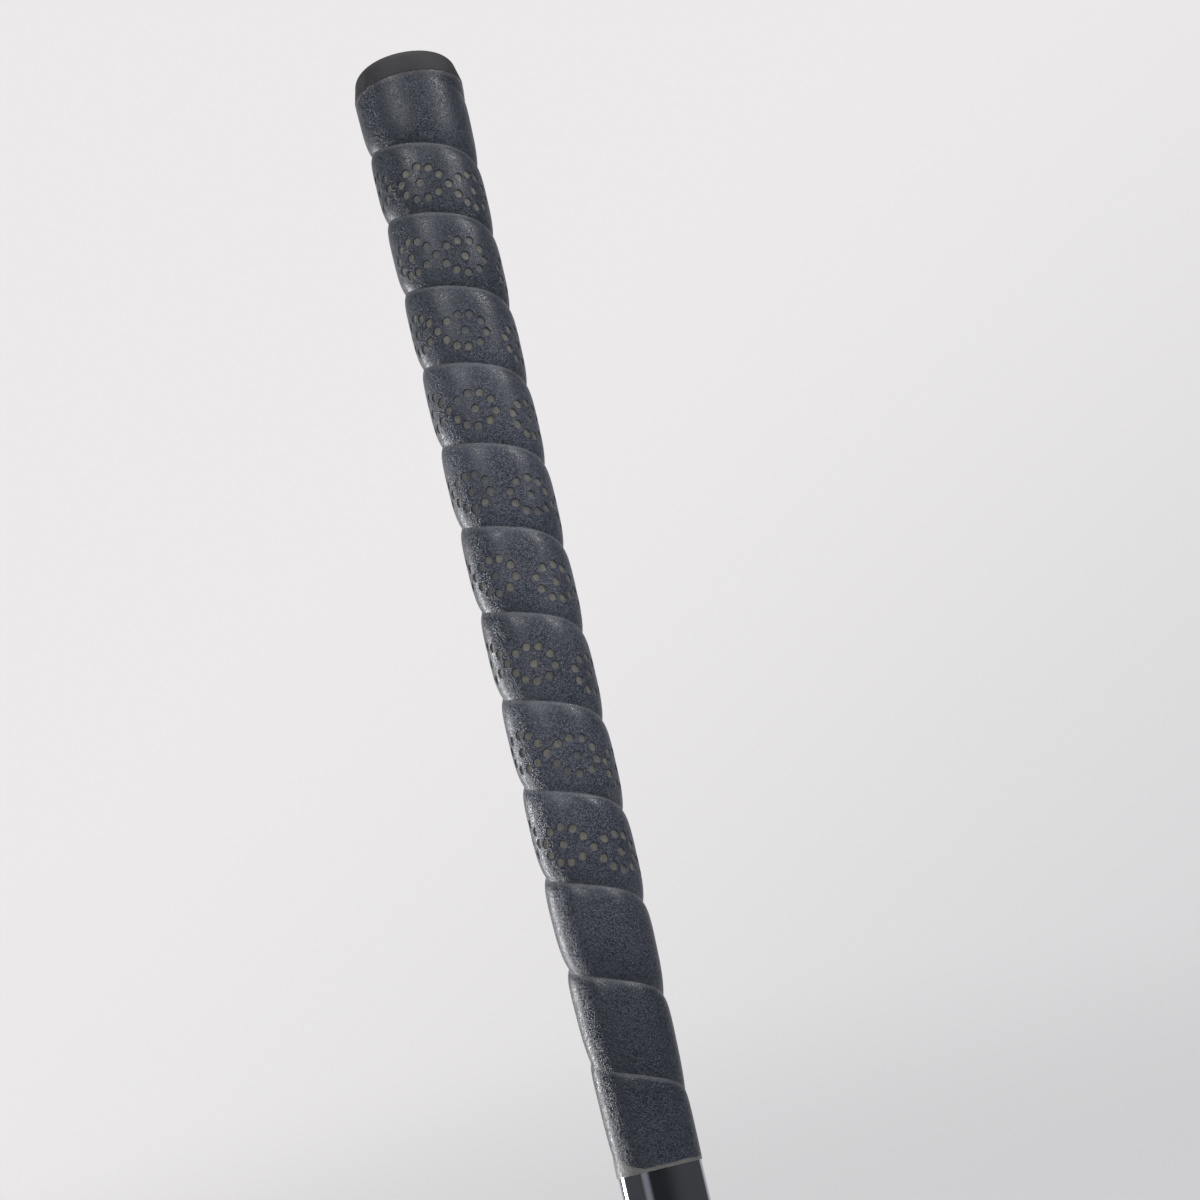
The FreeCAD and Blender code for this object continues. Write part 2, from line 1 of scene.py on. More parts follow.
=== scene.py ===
"""Looks of a blade putter that stands soled at address, seen close to its wrapped grip.

Every piece is made in the shared frame in metres: the origin is the centre of the sole, +Z is up,
the face looks along -Y and the shaft leans over towards +X. Sizes are written in millimetres as the
fields of each piece's class, and the studio's sizes in metres.
"""
import logging
import math
from contextlib import contextmanager
from dataclasses import dataclass, replace
from enum import Enum, IntEnum
from typing import Callable, Iterator, Sequence

import bmesh
import bpy
import numpy as np
from mathutils import Matrix, Vector
from mathutils.geometry import delaunay_2d_cdt


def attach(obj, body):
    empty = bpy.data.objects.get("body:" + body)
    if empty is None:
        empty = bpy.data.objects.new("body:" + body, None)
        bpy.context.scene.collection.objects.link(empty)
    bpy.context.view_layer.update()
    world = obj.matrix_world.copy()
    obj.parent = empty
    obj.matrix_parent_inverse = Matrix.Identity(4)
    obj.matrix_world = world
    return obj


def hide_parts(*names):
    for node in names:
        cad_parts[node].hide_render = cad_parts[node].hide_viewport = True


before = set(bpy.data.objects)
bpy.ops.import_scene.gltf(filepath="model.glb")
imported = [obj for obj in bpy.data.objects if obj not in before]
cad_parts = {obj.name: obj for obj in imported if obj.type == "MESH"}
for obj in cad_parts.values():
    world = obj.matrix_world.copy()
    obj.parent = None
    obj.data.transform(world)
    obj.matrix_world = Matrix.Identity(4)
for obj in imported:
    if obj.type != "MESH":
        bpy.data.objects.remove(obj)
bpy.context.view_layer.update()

MM = 0.001
WELD = 0.001 * MM
SMOOTH_ANGLE = 40
ALIGNED = 0.99
BODY = "root"
log = logging.getLogger("putter")

Piece = bpy.types.Object
Material = bpy.types.Material
Socket = bpy.types.NodeSocket
Colour = tuple[float, float, float]
Point = tuple[float, float, float]
Span = tuple[float, float]
Ring = tuple[float, float]


class Slot(Enum):
    """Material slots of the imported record."""

    GRIP = "grip_rubber"
    CAP = "cap_rubber"
    SHAFT = "shaft_chrome"
    HEAD = "head_steel"
    INSERT = "insert_metal"
    WEIGHT = "weight_steel"


class Axis(IntEnum):
    """Axes that an edge runs along or that rings go round."""

    X = 0
    Y = 1
    Z = 2


@dataclass(frozen=True)
class Round:
    """A rounded or broken edge, as its radius or width in millimetres and its segments."""

    radius: float
    steps: int


@dataclass(frozen=True)
class Noise:
    """A noise between 0 and 1, as its features per metre and its character."""

    scale: float
    detail: float = 3
    roughness: float = 0.55
    distortion: float = 0


@dataclass(frozen=True)
class Ramp:
    """A range that is mapped onto another and clamped, straight or easing in and out."""

    low: float
    high: float
    out_low: float = 0
    out_high: float = 1
    smooth: bool = False

    def above(self, base: float) -> "Ramp":
        """The ramp over heights in metres, when it is written in millimetres above a base."""
        return replace(self, low=(base + self.low) * MM, high=(base + self.high) * MM)


# Mesh helpers


@contextmanager
def editing(piece: Piece) -> Iterator[bmesh.types.BMesh]:
    """Open a piece in edit mode with nothing selected.

    Args:
        piece: The mesh object to edit.

    Returns:
        Its edit mesh, which is written back when the block ends.
    """
    bpy.context.view_layer.objects.active = piece
    bpy.ops.object.mode_set(mode="EDIT")
    bpy.ops.mesh.select_all(action="DESELECT")
    try:
        yield bmesh.from_edit_mesh(piece.data)
    finally:
        bmesh.update_edit_mesh(piece.data)
        bpy.ops.object.mode_set(mode="OBJECT")


def select_whole() -> None:
    """Select the whole mesh in edit mode."""
    bpy.ops.mesh.select_all(action="SELECT")


def select_edges(piece: Piece, wanted: Callable[[bmesh.types.BMEdge], bool]) -> None:
    """Select the edges that a test accepts, in edit mode.

    Args:
        piece: The piece that is being edited.
        wanted: Takes an edge and says whether it is selected.
    """
    bpy.ops.mesh.select_all(action="DESELECT")
    bpy.ops.mesh.select_mode(type="EDGE")
    for edge in bmesh.from_edit_mesh(piece.data).edges:
        edge.select = wanted(edge)
    bmesh.update_edit_mesh(piece.data)


def extrude(step: Sequence[float], edges_only: bool = False) -> None:
    """Extrude the selection by a step in millimetres, as a region or as bare edges."""
    operator = bpy.ops.mesh.extrude_edges_move if edges_only else bpy.ops.mesh.extrude_region_move
    operator(TRANSFORM_OT_translate={"value": tuple(part * MM for part in step)})


def widen(share: float, height: float) -> None:
    """Scale the selection about the upright axis, at a height in millimetres."""
    bpy.ops.transform.resize(value=(share, share, 1), center_override=(0, 0, height * MM))


def weld(threshold: float = WELD) -> None:
    """Join the points of the whole mesh that lie within a threshold in metres."""
    select_whole()
    bpy.ops.mesh.remove_doubles(threshold=threshold)


def trim(height: float, keep_above: bool, fill: bool = False) -> None:
    """Cut the mesh level at a height in metres and keep one side, closed with a face or open."""
    select_whole()
    bpy.ops.mesh.bisect(plane_co=(0, 0, height), plane_no=(0, 0, 1), clear_inner=keep_above,
                        clear_outer=not keep_above, use_fill=fill, threshold=WELD)


def name_new(name: str) -> Piece:
    """Name the primitive that was just added, and its mesh.

    Args:
        name: The piece's name.

    Returns:
        The object.
    """
    piece = bpy.context.active_object
    piece.name = name
    piece.data.name = name
    return piece


def deselect() -> None:
    """Deselect every object."""
    bpy.ops.object.select_all(action="DESELECT")


def only(piece: Piece) -> None:
    """Select one object alone and make it the active one.

    Args:
        piece: The object.
    """
    deselect()
    piece.select_set(True)
    bpy.context.view_layer.objects.active = piece


def face_out(piece: Piece) -> None:
    """Point every face of a closed piece outwards.

    Args:
        piece: The piece.
    """
    with editing(piece):
        select_whole()
        bpy.ops.mesh.normals_make_consistent(inside=False)


def circle(name: str, radius: float, place: Sequence[float], segments: int, fill: str = "NOTHING") -> Piece:
    """Add a level circle as the start of a piece.

    Args:
        name: The piece's name.
        radius: Its radius in millimetres.
        place: Its centre in millimetres.
        segments: Its number of vertices.
        fill: NOTHING for a bare ring, or NGON for one face.

    Returns:
        The circle, with its place in its mesh.
    """
    deselect()
    bpy.ops.mesh.primitive_circle_add(vertices=segments, radius=radius * MM, fill_type=fill,
                                      location=[part * MM for part in place])
    bpy.ops.object.transform_apply(location=True)
    return name_new(name)


def turned(name: str, rings: Sequence[Ring], segments: int) -> Piece:
    """Turn a hollow piece about the upright axis, ring by ring.

    Args:
        name: The piece's name.
        rings: Radius and height of each ring in millimetres, in order round the section.
        segments: Vertices of each ring.

    Returns:
        The turned piece, upright about the origin.
    """
    radius, height = rings[0]
    piece = circle(name, radius, (0, 0, height), segments)
    with editing(piece):
        select_whole()
        for next_radius, next_height in (*rings[1:], rings[0]):
            extrude((0, 0, next_height - height), edges_only=True)
            widen(next_radius / radius, next_height)
            radius, height = next_radius, next_height
        weld()
    face_out(piece)
    return piece


def arc(centre: Ring, bend: Round, start: float, end: float) -> list[Ring]:
    """Rings of a round in a turned section.

    Args:
        centre: Radius and height of the round's centre.
        bend: The round itself.
        start: First angle in degrees, from outwards towards up.
        end: Last angle in degrees.

    Returns:
        The rings from start to end.
    """
    angles = [math.radians(start + (end - start) * step / bend.steps) for step in range(bend.steps + 1)]
    return [(centre[0] + bend.radius * math.cos(angle), centre[1] + bend.radius * math.sin(angle))
            for angle in angles]


def block(name: str, low: Sequence[float], high: Sequence[float]) -> Piece:
    """Add a box between two corners in millimetres, for shaping or cutting.

    Args:
        name: The piece's name.
        low: Its lowest corner.
        high: Its highest corner.

    Returns:
        The box, with its place in its mesh.
    """
    deselect()
    bpy.ops.mesh.primitive_cube_add(size=1)
    piece = name_new(name)
    size = [(b - a) * MM for a, b in zip(low, high)]
    middle = [(a + b) / 2 * MM for a, b in zip(low, high)]
    piece.data.transform(Matrix.Translation(middle) @ Matrix.Diagonal((*size, 1)))
    return piece


def rod(name: str, radius: float, low: float, high: float, along: float, sides: int) -> Piece:
    """Add an upright round or many-sided cutter, in millimetres.

    Args:
        name: The cutter's name.
        radius: Its radius.
        low: Height of its foot.
        high: Height of its top.
        along: Its place along X.
        sides: Number of its sides.

    Returns:
        The cutter, with its place in its mesh.
    """
    deselect()
    bpy.ops.mesh.primitive_cylinder_add(vertices=sides, radius=radius * MM, depth=(high - low) * MM)
    piece = name_new(name)
    piece.data.transform(Matrix.Translation((along * MM, 0, (low + high) / 2 * MM)))
    return piece


def bevel_edges(piece: Piece, wanted: Callable[[Vector, Vector], bool], bend: Round) -> None:
    """Round the edges of a piece that a test accepts.

    Args:
        piece: The piece.
        wanted: Takes an edge's middle and direction, in millimetres and as a unit vector.
        bend: The round.
    """
    def measured(edge: bmesh.types.BMEdge) -> bool:
        """Hand an edge's middle and direction to the test."""
        start, end = (vertex.co / MM for vertex in edge.verts)
        return wanted((start + end) / 2, (end - start).normalized())

    with editing(piece):
        select_edges(piece, measured)
        bpy.ops.mesh.bevel(offset=bend.radius * MM, segments=bend.steps, affect="EDGES")
        bpy.ops.mesh.select_mode(type="VERT")


def runs_along(way: Vector, axis: Axis) -> bool:
    """Whether a direction lies within a few degrees of an axis."""
    return abs(way[axis]) > ALIGNED


def rounded_block(name: str, low: Sequence[float], high: Sequence[float], axis: Axis, bend: Round) -> Piece:
    """Add a box whose four edges along one axis are rounded.

    Args:
        name: The piece's name.
        low: Its lowest corner in millimetres.
        high: Its highest corner.
        axis: The axis that the rounded edges run along.
        bend: The round.

    Returns:
        The rounded box.
    """
    piece = block(name, low, high)
    bevel_edges(piece, lambda middle, way: runs_along(way, axis), bend)
    return piece


def apply_modifier(piece: Piece, kind: str, **settings: object) -> None:
    """Add one modifier to a piece and apply it.

    Args:
        piece: The piece.
        kind: The modifier's type.
        settings: Its properties.
    """
    only(piece)
    modifier = piece.modifiers.new(kind.lower(), kind)
    for name, value in settings.items():
        setattr(modifier, name, value)
    bpy.ops.object.modifier_apply(modifier=modifier.name)


def carve(piece: Piece, cutters: Sequence[Piece]) -> None:
    """Cut tools out of a piece one after another and remove them.

    Args:
        piece: The piece.
        cutters: The tools.
    """
    for cutter in cutters:
        face_out(cutter)
        apply_modifier(piece, "BOOLEAN", operation="DIFFERENCE", solver="EXACT", object=cutter)
        bpy.data.objects.remove(cutter)


def smooth(piece: Piece, angle: float = SMOOTH_ANGLE) -> None:
    """Shade a piece smooth but for edges sharper than an angle in degrees."""
    only(piece)
    bpy.ops.object.shade_smooth_by_angle(angle=math.radians(angle))


def soften(piece: Piece, edge: Round, angle: float = 35) -> None:
    """Break a piece's sharp edges and shade it smooth between them, with its flat faces kept flat.

    Args:
        piece: The piece.
        edge: The broken edge.
        angle: Least angle in degrees of an edge that counts as sharp.
    """
    apply_modifier(piece, "BEVEL", width=edge.radius * MM, segments=edge.steps, limit_method="ANGLE",
                   angle_limit=math.radians(angle))
    smooth(piece, angle)
    apply_modifier(piece, "WEIGHTED_NORMAL", mode="FACE_AREA", weight=100, keep_sharp=True)


def finish_piece(piece: Piece, slot: Slot, material: Material, *nodes: str) -> None:
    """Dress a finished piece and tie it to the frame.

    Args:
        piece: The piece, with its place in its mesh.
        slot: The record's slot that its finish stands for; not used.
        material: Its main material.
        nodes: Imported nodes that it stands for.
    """
    if not piece.data.materials:
        piece.data.materials.append(material)
    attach(piece, BODY)
    if nodes:
        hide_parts(*nodes)
    log.info("%s: %d faces, stands for %s", piece.name, len(piece.data.polygons), ", ".join(nodes) or "trim")


# Material helpers


class NodeSheet:
    """Adds nodes to a node tree and joins them."""

    def __init__(self, tree: bpy.types.NodeTree) -> None:
        """Work on one tree."""
        self.tree = tree

    def add(self, kind: str, inputs: dict[int | str, object] | None = None,
            **settings: object) -> bpy.types.Node:
        """Add a node.

        Args:
            kind: The node's type without the ShaderNode prefix.
            inputs: Sockets by name or number, with values or sockets to link.
            settings: The node's own properties.

        Returns:
            The node.
        """
        node = self.tree.nodes.new(f"ShaderNode{kind}")
        for name, value in settings.items():
            setattr(node, name, value)
        for name, value in (inputs or {}).items():
            self.feed(node.inputs[name], value)
        return node

    def feed(self, socket: Socket, value: object) -> None:
        """Link a socket to another one, or set its value.

        Args:
            socket: The socket.
            value: The other socket or the value.
        """
        if isinstance(value, bpy.types.NodeSocket):
            self.tree.links.new(value, socket)
        else:
            socket.default_value = value

    def remap(self, value: Socket, ramp: Ramp) -> Socket:
        """Map a value by a ramp."""
        inputs = dict(enumerate((value, ramp.low, ramp.high, ramp.out_low, ramp.out_high)))
        return self.add("MapRange", inputs, interpolation_type="SMOOTHSTEP" if ramp.smooth else "LINEAR",
                        clamp=True).outputs["Result"]

    def math(self, operation: str, first: object, second: object = 0.0) -> Socket:
        """One sum on two values."""
        return self.add("Math", {0: first, 1: second}, operation=operation).outputs[0]

    def times(self, first: object, second: object) -> Socket:
        """Multiply two values."""
        return self.math("MULTIPLY", first, second)

    def blend(self, share: object, first: object, second: object) -> Socket:
        """Mix two colours by a share.

        Args:
            share: Share of the second colour.
            first: The first colour.
            second: The second colour.

        Returns:
            The mixed colour.
        """
        node = self.add("Mix", {"Factor": share}, data_type="RGBA")
        for socket, colour in zip((node.inputs[6], node.inputs[7]), (first, second)):
            self.feed(socket, (*colour, 1) if isinstance(colour, tuple) else colour)
        return node.outputs[2]


class Recipe(NodeSheet):
    """Lays out the nodes of one material."""

    def __init__(self, name: str) -> None:
        """Start a node material with a Principled shader.

        Args:
            name: The material's name.
        """
        self.material = bpy.data.materials.new(name)
        self.material.use_nodes = True
        super().__init__(self.material.node_tree)
        self.shader = self.tree.nodes["Principled BSDF"]

    def set(self, **inputs: object) -> None:
        """Feed the shader's sockets, whose spaces are written as underscores."""
        for name, value in inputs.items():
            self.feed(self.shader.inputs[name.replace("_", " ")], value)

    def place(self, scale: Sequence[float] = (1, 1, 1), turn: Sequence[float] = (0, 0, 0),
              shift: Sequence[float] = (0, 0, 0)) -> Socket:
        """Object coordinates, shifted, turned and scaled.

        Args:
            scale: Scale along each turned axis.
            turn: Turn about each axis in degrees.
            shift: The point in metres that becomes the origin.

        Returns:
            The vector socket.
        """
        source = self.add("TexCoord").outputs["Object"]
        moved = self.add("VectorMath", {0: source, 1: tuple(shift)}, operation="SUBTRACT").outputs[0]
        angles = tuple(math.radians(angle) for angle in turn)
        turned_to = self.add("Mapping", {"Vector": moved, "Rotation": angles}).outputs[0]
        return self.add("VectorMath", {0: turned_to, 1: tuple(scale)}, operation="MULTIPLY").outputs[0]

    def split(self, vector: Socket) -> bpy.types.bpy_prop_collection:
        """The three parts of a vector, by name."""
        return self.add("SeparateXYZ", {"Vector": vector}).outputs

    def noise(self, where: Socket, noise: Noise) -> Socket:
        """A noise over the features per metre of a vector."""
        inputs = {"Vector": where, "Scale": noise.scale, "Detail": noise.detail,
                  "Roughness": noise.roughness, "Distortion": noise.distortion}
        return self.add("TexNoise", inputs).outputs["Fac"]

    def bump(self, height: Socket, depth: float, below: Socket | None = None) -> Socket:
        """Relief from a height, over another relief if one is given.

        Args:
            height: The height between 0 and 1.
            depth: Its depth in millimetres.
            below: The relief below it.

        Returns:
            The relief's normal.
        """
        inputs: dict[int | str, object] = {"Height": height, "Distance": depth * MM, "Strength": 1}
        if below is not None:
            inputs["Normal"] = below
        return self.add("Bump", inputs).outputs["Normal"]


@dataclass(frozen=True)
class ClubAxis:
    """The shaft's axis, where it meets the ground and how it leans, and the grip's place on it."""

    lie: float = 70
    reach: float = 22
    face_height: float = 24
    face_loft: float = 3
    head_depth: float = 27
    topline_width: float = 10.5
    neck_offset: float = 7.5
    club_length: float = 864
    grip_length: float = 219.5
    cap_height: float = 6.7

    @property
    def lean(self) -> float:
        """Angle in degrees between the shaft and upright."""
        return 90 - self.lie

    @property
    def topline_front(self) -> float:
        """Front edge of the topline along Y."""
        return self.face_height * math.tan(math.radians(self.face_loft)) - self.head_depth / 2

    @property
    def cap_seat(self) -> float:
        """Height along the shaft where the cap sits on the sleeve."""
        return self.club_length - self.cap_height

    @property
    def mouth(self) -> float:
        """Height along the shaft where the grip ends."""
        return self.club_length - self.grip_length

    @property
    def foot(self) -> Vector:
        """The point in metres where the axis meets the ground."""
        across = self.topline_front + self.topline_width / 2 - self.neck_offset
        return Vector((self.reach, across, 0)) * MM

    @property
    def matrix(self) -> Matrix:
        """Takes an upright piece onto the axis."""
        return Matrix.Translation(self.foot) @ Matrix.Rotation(math.radians(self.lean), 4, "Y")

    def seat(self, piece: Piece) -> Piece:
        """Move an upright piece's mesh onto the axis."""
        piece.data.transform(self.matrix)
        return piece

    def upright(self, recipe: Recipe, scale: Sequence[float] = (1, 1, 1)) -> Socket:
        """Coordinates that stand upright along the shaft, for a material on it."""
        return recipe.place(scale=scale, turn=(0, -self.lean, 0), shift=tuple(self.foot))


AXIS = ClubAxis()


# Finishes


@dataclass(frozen=True)
class PlainFinish:
    """A finish whose colour, roughness and relief follow one noise: paint, foam, paper tape."""

    name: str
    base: Colour
    other: Colour
    spots: Noise
    rough: Ramp
    relief: float
    tone: Ramp = Ramp(0.35, 0.7)
    sheen: float = 0.5
    metallic: float = 0

    def build(self) -> Material:
        """Lay out the material.

        Returns:
            The material.
        """
        mix = Recipe(self.name)
        spots = mix.noise(mix.place(), self.spots)
        plain = mix.blend(mix.remap(spots, self.tone), self.base, self.other)
        tone, relief = self.detail(mix, spots, plain)
        mix.set(Base_Color=tone, Roughness=mix.remap(spots, self.rough), Normal=relief,
                Specular_IOR_Level=self.sheen, Metallic=self.metallic)
        return mix.material

    def detail(self, mix: Recipe, spots: Socket, tone: Socket) -> tuple[Socket, Socket]:
        """The final colour and relief, here no more than the noise's own."""
        return tone, mix.bump(spots, self.relief)


@dataclass(frozen=True)
class LoopPaint(PlainFinish):
    """Dull beige paint in the wrap's pressed dots, worn thin on some of them."""

    name: str = "loop_dot_paint"
    base: Colour = (0.142, 0.136, 0.112)
    other: Colour = (0.085, 0.084, 0.075)
    spots: Noise = Noise(1500, roughness=0.6)
    rough: Ramp = Ramp(0.3, 0.7, 0.5, 0.7)
    relief: float = 0.04
    tone: Ramp = Ramp(0.42, 0.66)
    worn: Colour = (0.055, 0.059, 0.064)
    wear: Noise = Noise(120, detail=1)
    wear_share: Ramp = Ramp(0.46, 0.64, 0, 0.8)

    def detail(self, mix: Recipe, spots: Socket, tone: Socket) -> tuple[Socket, Socket]:
        """The paint worn thin here and there, and the relief of its specks."""
        worn = mix.remap(mix.noise(mix.place(), self.wear), self.wear_share)
        return mix.blend(worn, tone, self.worn), mix.bump(spots, self.relief)


@dataclass(frozen=True)
class CapRubber(PlainFinish):
    """Plain charcoal rubber of the butt cap, matte and a little dusty."""

    name: str = "cap_matte_rubber"
    base: Colour = (0.0240, 0.0235, 0.0275)
    other: Colour = (0.040, 0.038, 0.041)
    spots: Noise = Noise(420, detail=5, roughness=0.65)
    rough: Ramp = Ramp(0.3, 0.7, 0.58, 0.76)
    relief: float = 0.04
    tone: Ramp = Ramp(0.4, 0.75)
    sheen: float = 0.35
    fine: Noise = Noise(2600, detail=2)
    fine_relief: float = 0.02

    def detail(self, mix: Recipe, spots: Socket, tone: Socket) -> tuple[Socket, Socket]:
        """The plain colour, and a fine relief over the coarse one."""
        coarse = mix.bump(spots, self.relief)
        return tone, mix.bump(mix.noise(mix.place(), self.fine), self.fine_relief, below=coarse)


@dataclass(frozen=True)
class SatinSteel(PlainFinish):
    """Blasted and lightly brushed steel, with cloudy tone and brighter brush strokes."""

    name: str = "head_satin_steel"
    base: Colour = (0.50, 0.50, 0.505)
    other: Colour = (0.36, 0.36, 0.37)
    spots: Noise = Noise(38, detail=4, roughness=0.6)
    rough: Ramp = Ramp(0.3, 0.75, 0.25, 0.39)
    relief: float = 0.006
    tone: Ramp = Ramp(0.35, 0.72)
    metallic: float = 1
    bright: Colour = (0.60, 0.60, 0.60)
    brush: Noise = Noise(2600, roughness=0.6)
    brush_stretch: float = 0.05
    brush_share: Ramp = Ramp(0.45, 0.75, 0, 0.35)
    blast: Noise = Noise(3800, detail=2)
    blast_relief: float = 0.010

    def detail(self, mix: Recipe, spots: Socket, tone: Socket) -> tuple[Socket, Socket]:
        """Brighten the brush strokes and lay their relief over the blasted one.

        Args:
            mix: The material's recipe.
            spots: The cloudy noise; not used.
            tone: The cloudy tone.

        Returns:
            The colour and the relief.
        """
        brush = mix.noise(mix.place(scale=(self.brush_stretch, 1, 1)), self.brush)
        blast = mix.bump(mix.noise(mix.place(), self.blast), self.blast_relief)
        brushed = mix.blend(mix.remap(brush, self.brush_share), tone, self.bright)
        return brushed, mix.bump(brush, self.relief, below=blast)


@dataclass(frozen=True)
class TurnedSteel(PlainFinish):
    """Steel turned on a lathe, with fine rings round an axis through a centre in metres."""

    name: str = "weight_turned"
    base: Colour = (0.42, 0.42, 0.43)
    other: Colour = (0.52, 0.51, 0.49)
    spots: Noise = Noise(160, detail=4)
    rough: Ramp = Ramp(0.3, 0.7, 0.22, 0.34)
    relief: float = 0.008
    tone: Ramp = Ramp(0.4, 0.7)
    metallic: float = 1
    rings: Noise = Noise(1100, detail=1, distortion=0.2)
    axis: Axis = Axis.Z
    centre: Point = (0, 0, 0)

    def detail(self, mix: Recipe, spots: Socket, tone: Socket) -> tuple[Socket, Socket]:
        """Lay out the cutter's rings.

        Args:
            mix: The material's recipe.
            spots: The hazy noise, which the rings take no part in; not used.
            tone: The hazy tone.

        Returns:
            The colour and the relief.
        """
        inputs = {"Vector": mix.place(shift=self.centre), "Scale": self.rings.scale,
                  "Distortion": self.rings.distortion, "Detail": self.rings.detail}
        rings = mix.add("TexWave", inputs, wave_type="RINGS", rings_direction=self.axis.name)
        return tone, mix.bump(rings.outputs["Fac"], self.relief)


@dataclass(frozen=True)
class MilledInsert(TurnedSteel):
    """Dark anodised aluminium with fine fly-cut arcs across the face."""

    name: str = "insert_milled_dark"
    base: Colour = (0.10, 0.105, 0.12)
    other: Colour = (0.17, 0.175, 0.19)
    spots: Noise = Noise(70, detail=4)
    rough: Ramp = Ramp(0.3, 0.7, 0.28, 0.4)
    relief: float = 0.006
    tone: Ramp = Ramp(0.35, 0.7)
    rings: Noise = Noise(900, detail=2, distortion=0.4)
    axis: Axis = Axis.Y
    centre: Point = (0, 0, -0.03)


@dataclass(frozen=True)
class ShaftChrome:
    """Polished plating with faint rings from the drawing mandrel and a few hairline marks."""

    # The blue tint of base and haze stands in for bluish surroundings seen in the plating: painted
    # reflection colour.
    base: Colour = (0.55, 0.585, 0.67)
    haze: Colour = (0.45, 0.485, 0.56)
    rings: Noise = Noise(22, detail=4, roughness=0.6)
    ring_squeeze: float = 14
    ring_tone: Ramp = Ramp(0.35, 0.75, 0, 0.35)
    ring_rough: Ramp = Ramp(0.4, 0.75, 0.05, 0.11)
    hairs: Noise = Noise(1400)
    hair_stretch: float = 0.06
    hair_rough: Ramp = Ramp(0.62, 0.75, 0, 0.10)
    hair_relief: float = 0.002

    def build(self) -> Material:
        """Lay out the material.

        Returns:
            The material.
        """
        mix = Recipe("shaft_polished_chrome")
        rings = mix.noise(AXIS.upright(mix, scale=(1, 1, self.ring_squeeze)), self.rings)
        hairs = mix.noise(AXIS.upright(mix, scale=(1, 1, self.hair_stretch)), self.hairs)
        rough = mix.math("ADD", mix.remap(rings, self.ring_rough), mix.remap(hairs, self.hair_rough))
        tone = mix.blend(mix.remap(rings, self.ring_tone), self.base, self.haze)
        mix.set(Base_Color=tone, Roughness=rough, Normal=mix.bump(hairs, self.hair_relief), Metallic=1.0)
        return mix.material


